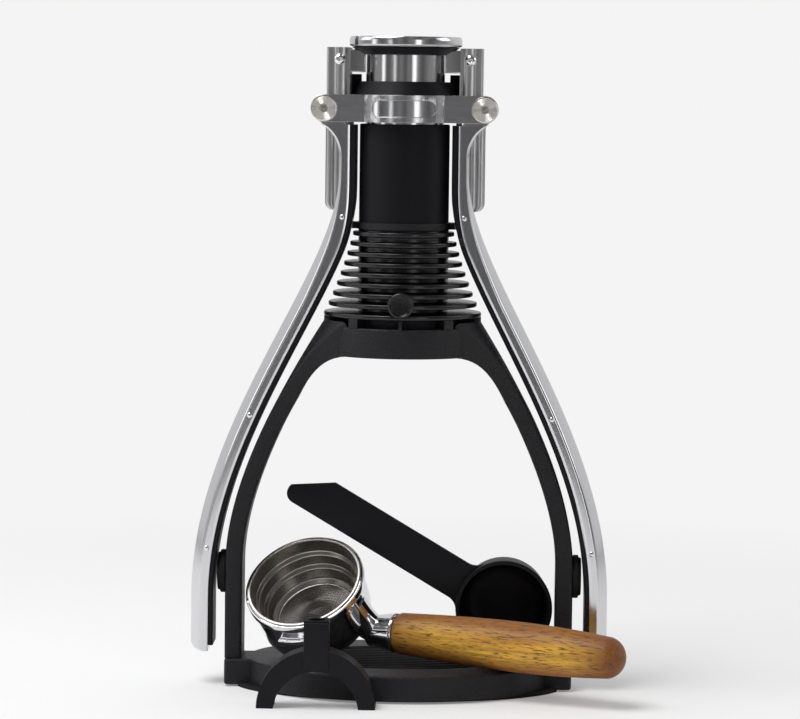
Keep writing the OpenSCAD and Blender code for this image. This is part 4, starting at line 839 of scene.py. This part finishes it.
def laid_piece(name, part, material, node, crease):
    """The part laid down as a piece. Its points keep two attributes: their upright coordinates in
    metres, and the direction round the upright axis, (-y, x, 0) over its length, laid down."""
    mesh = piece(name, laid(part), material, node, crease).data
    co = np.empty(len(mesh.vertices) * 3)
    mesh.vertices.foreach_get("co", co)
    upright = (co.reshape(-1, 3) / MM - RIM) @ LAY
    tangent = np.stack([-upright[:, 1], upright[:, 0], 0 * upright[:, 0]], axis=1) + [1e-6, 0, 0]
    tangent = tangent / np.linalg.norm(tangent, axis=1, keepdims=True) @ LAY.T
    for label, vectors in (("upright", upright * MM), ("round_axis", tangent)):
        layer = mesh.attributes.new(label, "FLOAT_VECTOR", "POINT")
        layer.data.foreach_set("vector", vectors.ravel())


print("the portafilter's rim is centred at", RIM)

# %% [markdown]
# The bowl is chromed metal: a turned cup with a thick rim, two lugs that lock into the group ring,
# and a bent neck that carries the handle. Bowl and neck could be joined with Boolean; here the neck
# runs into the bowl's wall, and its points inside the cup are pushed out into that wall.

# %% Bowl with lugs and neck
BOWL_R, BOWL_H, FOOT_R, CUP_IN = 27.0, 32.0, 17.0, 25.6
RIM_R, WALL_R = BOWL_R + 0.5, BOWL_R - 0.8
LUG_OUT, LUG_IN, LUG_START, LUG_END, LUG_LOW, LUG_HIGH = 29.8, 24.5, 84, 118, -9.6, -6.6
NECK_FROM, NECK_VIA, NECK_TO = (19.5, -11.0), (23.0, -DROP), (31.0, -DROP)
NECK_R, NECK_TAPER, STEP_Z, STEP_R, FLOOR_Z, FLOOR_R = 7.4, 1.4, -14.5, 24.6, -23.5, 22.6
flank = rounded([(FOOT_R, -BOWL_H), (24.6, -25.6), (BOWL_R - 1.0, -20.0), (WALL_R, -7.0)], 6.0, 8)
rim = rounded([flank[-1], (WALL_R, -4.4), (RIM_R, -3.8), (RIM_R, 0.0), (CUP_IN, 0.0)], 0.7)
inside = [(CUP_IN, -7), (23.6, -8.2), (23.6, -14), (21.4, -15), (21.4, -23.5), (3.2, -23.5),
          (3.2, -BOWL_H)]
bowl = lathe(np.concatenate([[(FOOT_R - 2, -BOWL_H)], flank, rim[1:], inside]), 128, closed=True)


def lug(side):
    """A bayonet lug: a block between the bowl's wall and a larger circle, three mm high."""
    edge = np.concatenate([arc((0, 0), LUG_OUT, LUG_START, LUG_END, 16),
                           arc((0, 0), LUG_IN, LUG_END, LUG_START, 16)])
    points, faces = slab(edge * [side, side], LUG_LOW, LUG_HIGH)
    return as_points(points)[:, [0, 2, 1]], faces


def bent_neck(rows=24, steps=40):
    """A round bar on the quadratic curve from the bowl's flank down and out to the ferrule; its
    radius falls by NECK_TAPER. Points inside the bowl are pushed out into its wall."""
    t = np.linspace(0, 1, rows)
    axis = quadratic(NECK_FROM, NECK_VIA, NECK_TO, t)
    t = t[:, None]
    slope = 2 * (1 - t) * np.subtract(NECK_VIA, NECK_FROM) + 2 * t * np.subtract(NECK_TO, NECK_VIA)
    across, radius = -beside(slope), NECK_R - NECK_TAPER * t
    w = np.linspace(0, 2 * np.pi, steps, endpoint=False)
    x = axis[:, :1] + radius * across[:, :1] * np.cos(w)
    z = axis[:, 1:] + radius * across[:, 1:] * np.cos(w)
    y = radius * np.sin(w)
    wall = np.where(z > STEP_Z, STEP_R, np.where(z > FLOOR_Z, FLOOR_R, 0.0))
    push = np.maximum(1, wall / np.hypot(x, y))
    return carried(np.stack([x * push, y * push, z], axis=-1))


bowl_part = merged(bowl, lug(1), lug(-1), bent_neck())
laid_piece("bowl_with_lugs", bowl_part, chrome, "portafilter_bowl", 45)

# %% [markdown]
# A chromed ferrule covers the joint of neck and wood. It is a lathe form about the handle's axis: a
# narrow bead, a cone that widens and a rolled edge against the wood.

# %% Ferrule
ferrule = rounded([(0.0, 25.0), (6.4, 25.0), (7.3, 25.4), (7.3, 26.8), (6.8, 27.2), (8.7, 36.5),
                   (9.0, 37.6), (8.7, 38.8), (0.0, 38.8)], 0.4)
laid_piece("chrome_ferrule", along_handle(lathe(ferrule, 72)), chrome, "handle_ferrule", 60)

# %% [markdown]
# The basket and the handle need patterns of their own: dots kept to one place, and colours laid
# over each other. Math nodes work those out from the attributes that the laid pieces keep, and a
# Mix node puts one colour over another.

# %% Node maths and colour mixes
def attribute(tree, name):
    """The vector that the mesh attribute of this name holds at each point."""
    node = tree.nodes.new("ShaderNodeAttribute")
    node.attribute_name = name
    return node.outputs["Vector"]


def worked(tree, operation, *values, vector=False):
    """The result of one Math node, or of one Vector Math node."""
    node = tree.nodes.new("ShaderNodeVectorMath" if vector else "ShaderNodeMath")
    node.operation = operation
    for socket, value in zip(node.inputs, values):
        feed(tree, socket, value)
    number = not vector or operation in ("LENGTH", "DOT_PRODUCT")
    return node.outputs["Value" if number else "Vector"]


def blend(tree, factor, first, second):
    """A colour mix; first and second are colours or outputs."""
    mix = tree.nodes.new("ShaderNodeMix")
    mix.data_type = "RGBA"
    feed(tree, mix.inputs["Factor"], factor)
    for name, value in (("A", first), ("B", second)):
        socket = next(s for s in mix.inputs if s.name == name and s.type == "RGBA")
        feed(tree, socket, (*value, 1) if isinstance(value, tuple) else value)
    return next(s for s in mix.outputs if s.type == "RGBA")


print("finishes before the basket's:", len(bpy.data.materials))

# %% [markdown]
# The basket is pressed from thin steel in three steps, and many fine holes pierce its bottom.
# At this size the holes are a pattern in the finish: a square grid of dark dots in the upright
# coordinates, kept to the bottom. The polishing marks run round the axis, as the tangent says.

# %% Pressed steel
HOLE_PITCH, HOLE_FROM, HOLE_TO = 1.5, 0.20, 0.30
BOTTOM_Z, PIERCED_R, DOT_FADE = -21.7, 16.0, 0.2
STEEL, HOLE = (0.40, 0.38, 0.355), (0.20, 0.19, 0.175)


def pierced(tree):
    """1 in the dots of a grid, near the cells' middles, where z is low and the radius small."""
    where, per_cell = attribute(tree, "upright"), 1 / HOLE_PITCH / MM
    cells = worked(tree, "MULTIPLY", where, (per_cell, per_cell, 0), vector=True)
    in_cell = worked(tree, "FRACTION", cells, vector=True)
    from_middle = worked(tree, "SUBTRACT", in_cell, (0.5, 0.5, 0), vector=True)
    dots = ramp(tree, worked(tree, "LENGTH", from_middle, vector=True), 1, 0, HOLE_FROM, HOLE_TO)
    height = worked(tree, "DOT_PRODUCT", where, (0, 0, 1), vector=True)
    low = ramp(tree, height, 1, 0, BOTTOM_Z * MM, (BOTTOM_Z + DOT_FADE) * MM)
    flat = worked(tree, "MULTIPLY", where, (1, 1, 0), vector=True)
    reach = worked(tree, "LENGTH", flat, vector=True)
    near = ramp(tree, reach, 1, 0, PIERCED_R * MM, (PIERCED_R + DOT_FADE) * MM)
    return worked(tree, "MULTIPLY", worked(tree, "MULTIPLY", dots, low), near)


basket_steel, tree, shader = new_finish("pressed steel", STEEL, metallic=1.0, roughness=0.22,
                                        anisotropy=0.75)
feed(tree, shader.inputs["Tangent"], attribute(tree, "round_axis"))
feed(tree, shader.inputs["Base Color"], blend(tree, pierced(tree), STEEL, HOLE))
print("finish:", basket_steel.name)

# %% [markdown]
# The basket's wall is half a millimetre thick, so one profile goes down its inner side and up its
# outer side. Solidify could add the thickness, but the rolled rim is easier to draw.

# %% Stepped basket
steps_in = [(26.5, 0.0), (26.5, 0.9), (24.75, 0.9), (24.75, -6.5), (22.75, -7.6), (22.75, -13.0),
            (20.55, -14.1), (20.55, -20.0), (18.2, -22.0), (0.0, -22.0)]
steps_out = [(0.0, -22.5), (18.5, -22.5), (21.05, -20.2), (21.05, -14.3), (23.25, -13.2),
             (23.25, -7.8), (25.25, -6.7), (25.25, 0.0)]
walls = [rounded(steps_in, 0.7, 5), rounded(steps_out, 0.3, 2), steps_in[:1]]
basket = lathe(np.concatenate(walls), 128)
laid_piece("stepped_basket", basket, basket_steel, "filter_basket", 50)

# %% [markdown]
# The handle is oiled hardwood. Its colour comes from three noises stretched along the handle: broad
# golden and amber zones, a finer grain, and short dark pores that are also dents. Both ends are
# darker, and painted shade darkens the upper and lower sides towards a reddish brown. All read the
# upright coordinates, so the grain runs along the handle although it lies askew.

# %% Oiled wood
GOLD, AMBER, BROWN = (0.86, 0.500, 0.070), (0.60, 0.295, 0.042), (0.34, 0.155, 0.026)
SHADED_SIDE, DARK_END, PORE = (0.27, 0.090, 0.022), (0.19, 0.058, 0.018), (0.095, 0.036, 0.012)
ZONE_SIZE, GRAIN_SIZE, PORE_SIZE = (14, 110, 110), (45, 620, 620), (210, 1700, 1700)
SHADE_FROM, SHADE_TO, PORE_STRENGTH, PORE_DEPTH = 0.003, 0.009, 0.6, 0.00008
oiled_wood, tree, shader = new_finish("oiled hardwood", BROWN, roughness=0.46, specular=0.28)
where = attribute(tree, "upright")
zones = ramp(tree, noise(tree, where, 1.0, ZONE_SIZE, 2.0), 0, 1, 0.36, 0.64)
grain = ramp(tree, noise(tree, where, 1.0, GRAIN_SIZE, 4.0), 0, 0.70, 0.42, 0.68)
pores = ramp(tree, noise(tree, where, 1.0, PORE_SIZE, 2.0), 0, 0.80, 0.54, 0.65)
along = worked(tree, "DOT_PRODUCT", where, (1, 0, 0), vector=True)
far_end = ramp(tree, along, 0, 0.9, 0.124, 0.144)
near_end = ramp(tree, along, 0.65, 0, 0.0395, 0.060)
# Painted shade: the sides above and below the handle's middle, by height in the room, are mixed
# towards a darker reddish brown.
room_up = LAY.T @ [0.0, 0.0, 1.0]
height = worked(tree, "DOT_PRODUCT", where, (0.0, room_up[1], room_up[2]), vector=True)
middle = -DROP * MM * room_up[2]
shaded_top = ramp(tree, height, 0, 0.85, middle + SHADE_FROM, middle + SHADE_TO)
shaded_bottom = ramp(tree, height, 0.90, 0, middle - SHADE_TO, middle - SHADE_FROM)
wood = blend(tree, grain, blend(tree, zones, GOLD, AMBER), BROWN)
wood = blend(tree, worked(tree, "MAXIMUM", shaded_top, shaded_bottom), wood, SHADED_SIDE)
wood = blend(tree, worked(tree, "MAXIMUM", far_end, near_end), wood, DARK_END)
feed(tree, shader.inputs["Base Color"], blend(tree, pores, wood, PORE))
bump(tree, shader, pores, PORE_STRENGTH, PORE_DEPTH, dents=True)
print("finish:", oiled_wood.name)

# %% [markdown]
# The handle itself is turned: it swells from the ferrule to just past its middle, narrows again and
# ends in a round cap. The swell is a quarter sine, and the narrowing a parabola, so the profile has
# no corner where they meet.

# %% Wooden handle
GRIP_X, GRIP_L, GRIP_R, GRIP_NECK_R, GRIP_END_R = 39.0, 109.5, 11.3, 9.2, 9.3
WIDEST, END_START = 0.52, 0.92
u = np.linspace(0.014, END_START, 48)
grow = GRIP_NECK_R + (GRIP_R - GRIP_NECK_R) * np.sin(np.pi / 2 * np.minimum(u / WIDEST, 1))
fall = (GRIP_R - GRIP_END_R) * (np.clip(u - WIDEST, 0, 1) / (END_START - WIDEST)) ** 2
swell = np.stack([grow - fall, u * GRIP_L], axis=1)
near = [(0.0, 0.1), (GRIP_NECK_R - 1.2, 0.1), (GRIP_NECK_R - 0.4, 0.4)]
cap = arc((0, 0), 1.0, 0, 90, 16)[1:] * [GRIP_END_R, GRIP_L * (1 - END_START)]
grip = np.concatenate([near, swell, cap + [0, GRIP_L * END_START]]) + [0, GRIP_X]
laid_piece("oiled_handle", along_handle(lathe(grip, 96)), oiled_wood, "wooden_handle", 60)

# %% [markdown]
# The scoop is moulded in one: a shallow cup on its side and a flat handle that leaves it through
# two fillets. The cup is a lathe form about Y; the handle is a slab with its outline worked out.

# %% Scoop
CUP_X, CUP_Z, CUP_R, CUP_Y, CUP_H, CUP_WALL, CUP_TAPER = 47.7, 34.9, 22.1, 3.5, 27.0, 1.8, 1.8
CUP_BACK, CUP_FLOOR = CUP_Y + CUP_H, CUP_Y + CUP_H - CUP_WALL
STRIP_FRONT, STRIP_BACK = CUP_Y + 4, CUP_Y + 7
cup_outside = rounded([(0.0, CUP_BACK), (CUP_R - CUP_TAPER, CUP_BACK), (CUP_R, CUP_Y),
                       (CUP_R - CUP_WALL, CUP_Y)], 0.9)
cup_inside = rounded([cup_outside[-1], (CUP_R - CUP_WALL - CUP_TAPER, CUP_FLOOR), (0.0, CUP_FLOOR)],
                     7.0, 10)
cup = about_y(lathe(np.concatenate([cup_outside, cup_inside[1:]]), 128), CUP_X, CUP_Z)


def scoop_outline(length=113.2, half=9.0, fillet=7.0, rise=30.5, tip_r=4.8, tip_in=5.6):
    """The handle from the front: fillets from the cup, straight edges and a slanted end, turned by
    the angle rise and mirrored in x."""
    v = half + fillet
    u = math.sqrt((CUP_R + fillet) ** 2 - v ** 2)
    lean = math.degrees(math.atan2(v, u))
    top = arc((u, v), fillet, 180 + lean, 270, 10)
    slant = [(length - half * 2, half)]
    tip = arc((length - tip_in, -half + tip_r), tip_r, 25, -90, 12)
    root = arc((0, 0), CUP_R - 0.9, -lean, lean, 10)
    shape = np.concatenate([top, slant, tip, (top * [1, -1])[::-1], root])
    a = math.radians(rise)
    x = shape[:, 0] * math.cos(a) - shape[:, 1] * math.sin(a)
    z = shape[:, 0] * math.sin(a) + shape[:, 1] * math.cos(a)
    return np.stack([CUP_X - x, CUP_Z + z], axis=1)


strip = slab(scoop_outline(), STRIP_FRONT, STRIP_BACK, 0.6)
piece("moulded_scoop", merged(cup, strip), black_plastic, "scoop", 40)

# %% [markdown]
# The twin spout stands on the floor in front of the base. Its arch is a softened CAD solid; the
# square tower on top has crisper, slightly drawn-in sides, so its front is a slab of its own.

# %% Tower of the twin spout
SPOUT_X, TOWER_HALF, TOWER_LOW, TOWER_TOP, TOWER_DRAFT = -34.2, 5.6, 17.0, 37.9, 0.3
TOWER_FRONT, TOWER_BACK = -65.5, -62.0
tower_face = [(SPOUT_X - TOWER_HALF, TOWER_LOW), (SPOUT_X + TOWER_HALF, TOWER_LOW),
              (SPOUT_X + TOWER_HALF - TOWER_DRAFT, TOWER_TOP),
              (SPOUT_X - TOWER_HALF + TOWER_DRAFT, TOWER_TOP)]
tower = slab(tower_face, TOWER_FRONT, TOWER_BACK, 0.3)
piece("spout_tower", tower, black_plastic, "twin_spout", 40)

# %% [markdown]
# The stage is a pale floor that runs back into a plain pale backdrop. Near the machine the floor
# shows its own shade, so the shadow stays. Further out the camera sees it glow as brightly as the
# backdrop, which hides the seam, and the light on the machine doesn't change.

# %% Floor
BACKDROP, NEAR, FAR, NEAR_SHARE = 0.905, 0.26, 0.62, 0.22
SIDE, FRONT_END, BACK_END = 6, -0.8, 6
floor_mesh = bpy.data.meshes.new("floor")
floor_mesh.from_pydata([(-SIDE, FRONT_END, 0), (SIDE, FRONT_END, 0), (SIDE, BACK_END, 0),
                        (-SIDE, BACK_END, 0)], [], [(0, 1, 2, 3)])
floor = bpy.data.objects.new("floor", floor_mesh)
scene.collection.objects.link(floor)
pale, tree, shader = new_finish("pale floor", (0.90, 0.90, 0.90), roughness=0.9, specular=0.1)
reach = worked(tree, "LENGTH", object_place(tree), vector=True)
away = ramp(tree, reach, NEAR_SHARE, 1, NEAR, FAR)
seen = tree.nodes.new("ShaderNodeLightPath").outputs["Is Camera Ray"]
glow = tree.nodes.new("ShaderNodeEmission")
glow.inputs["Strength"].default_value = BACKDROP
both = tree.nodes.new("ShaderNodeMixShader")
for socket, value in zip(both.inputs, (worked(tree, "MULTIPLY", away, seen),
                                       shader.outputs["BSDF"], glow.outputs["Emission"])):
    feed(tree, socket, value)
feed(tree, tree.nodes["Material Output"].inputs["Surface"], both.outputs["Shader"])
floor_mesh.materials.append(pale)
print("floor:", 2 * SIDE, "m wide")

# %% [markdown]
# A broad light hangs overhead and one stands on each side. Polished metal shows what is around it,
# so three narrow strips in front give it bright lines; a bare studio would leave it grey.

# %% Lights
STRIP_REACH, STRIP_Z, STRIP_H = 1.8, 0.35, 0.9
STRIPS = (("left strip", -66, 0.30, 1.2), ("middle strip", -30, 0.18, 0.6),
          ("right strip", 27, 0.34, 1.7))


def soft_light(name, place, aim, size, watts):
    """A rectangular area light at place (metres), turned so that its -Z points to aim."""
    data = bpy.data.lights.new(name, "AREA")
    data.shape = "RECTANGLE"
    data.size, data.size_y = size
    data.energy = watts
    obj = bpy.data.objects.new(name, data)
    scene.collection.objects.link(obj)
    obj.location = place
    obj.rotation_euler = Vector(np.subtract(aim, place)).to_track_quat("-Z", "Y").to_euler()
    print("light", name, watts, "W")


soft_light("top light", (-0.7, -0.42, 1.7), (0, 0, 0.1), (1.1, 1.0), 25)
soft_light("left light", (-1.7, 0.0, 0.95), (0, 0, 0.15), (0.9, 1.0), 4.5)
soft_light("right light", (1.7, 0.0, 0.95), (0, 0, 0.15), (0.9, 1.0), 4.5)
for name, degrees, width, watts in STRIPS:
    x = STRIP_REACH * math.sin(math.radians(degrees))
    y = -STRIP_REACH * math.cos(math.radians(degrees))
    soft_light(name, (x, y, STRIP_Z), (0, 0, 0.25), (width, STRIP_H), watts)

# %% [markdown]
# The world fills in the rest. Behind the machine it is bright, and in front it is dim with soft
# upright waves, so that tubes and rails show light and dark stripes. The camera itself sees a
# plain backdrop.

# %% World
WAVES, WAVE_DEPTH, FRONT_LEVEL, BACK_LEVEL, BACK_FROM = 16.0, 0.06, 0.16, 0.72, 0.5
world = bpy.data.worlds.new("studio")
scene.world = world
world.use_nodes = True
tree = world.node_tree
axes = tree.nodes.new("ShaderNodeSeparateXYZ")
feed(tree, axes.inputs["Vector"], tree.nodes.new("ShaderNodeTexCoord").outputs["Generated"])
stripes = worked(tree, "COSINE", worked(tree, "MULTIPLY", axes.outputs["X"], WAVES))
front = worked(tree, "ADD", worked(tree, "MULTIPLY", stripes, -WAVE_DEPTH), FRONT_LEVEL)
behind = ramp(tree, axes.outputs["Y"], front, BACK_LEVEL, 0.0, BACK_FROM)
shown = tree.nodes.new("ShaderNodeMix")
feed(tree, shown.inputs["Factor"], tree.nodes.new("ShaderNodeLightPath").outputs["Is Camera Ray"])
feed(tree, shown.inputs["A"], behind)
feed(tree, shown.inputs["B"], BACKDROP)
feed(tree, tree.nodes["Background"].inputs["Strength"], shown.outputs["Result"])
feed(tree, tree.nodes["Background"].inputs["Color"], (1, 1, 1, 1))
scene.view_settings.view_transform = "Standard"
print("stage ready")

# %% [markdown]
# The photograph was taken from well back with a long lens, a little above the machine's top half,
# so its lines hardly converge. The camera is placed by that distance and height, and turned by
# small angles that were measured from the machine's axis and its level edges.

# %% Camera
FOCAL_PX, IMAGE_W, SENSOR_W, DISTANCE, EYE_Z = 3370.0, 800.0, 36.0, 1.517, 0.272
TURN, YAW, TILT, ROLL = (math.radians(angle) for angle in (1.5, 0.034, 4.657, 0.74))
camera_data = bpy.data.cameras.new("camera")
camera_data.sensor_width = SENSOR_W
camera_data.lens = FOCAL_PX / IMAGE_W * SENSOR_W
camera = bpy.data.objects.new("camera", camera_data)
scene.collection.objects.link(camera)
scene.camera = camera
camera.location = (DISTANCE * math.sin(TURN), -DISTANCE * math.cos(TURN), EYE_Z)
camera.rotation_mode = "QUATERNION"
aim = (Matrix.Rotation(TURN + YAW, 3, "Z") @ Matrix.Rotation(math.pi / 2 - TILT, 3, "X")
       @ Matrix.Rotation(ROLL, 3, "Z"))
camera.rotation_quaternion = aim.to_quaternion()
print("camera lens", round(camera_data.lens, 1))
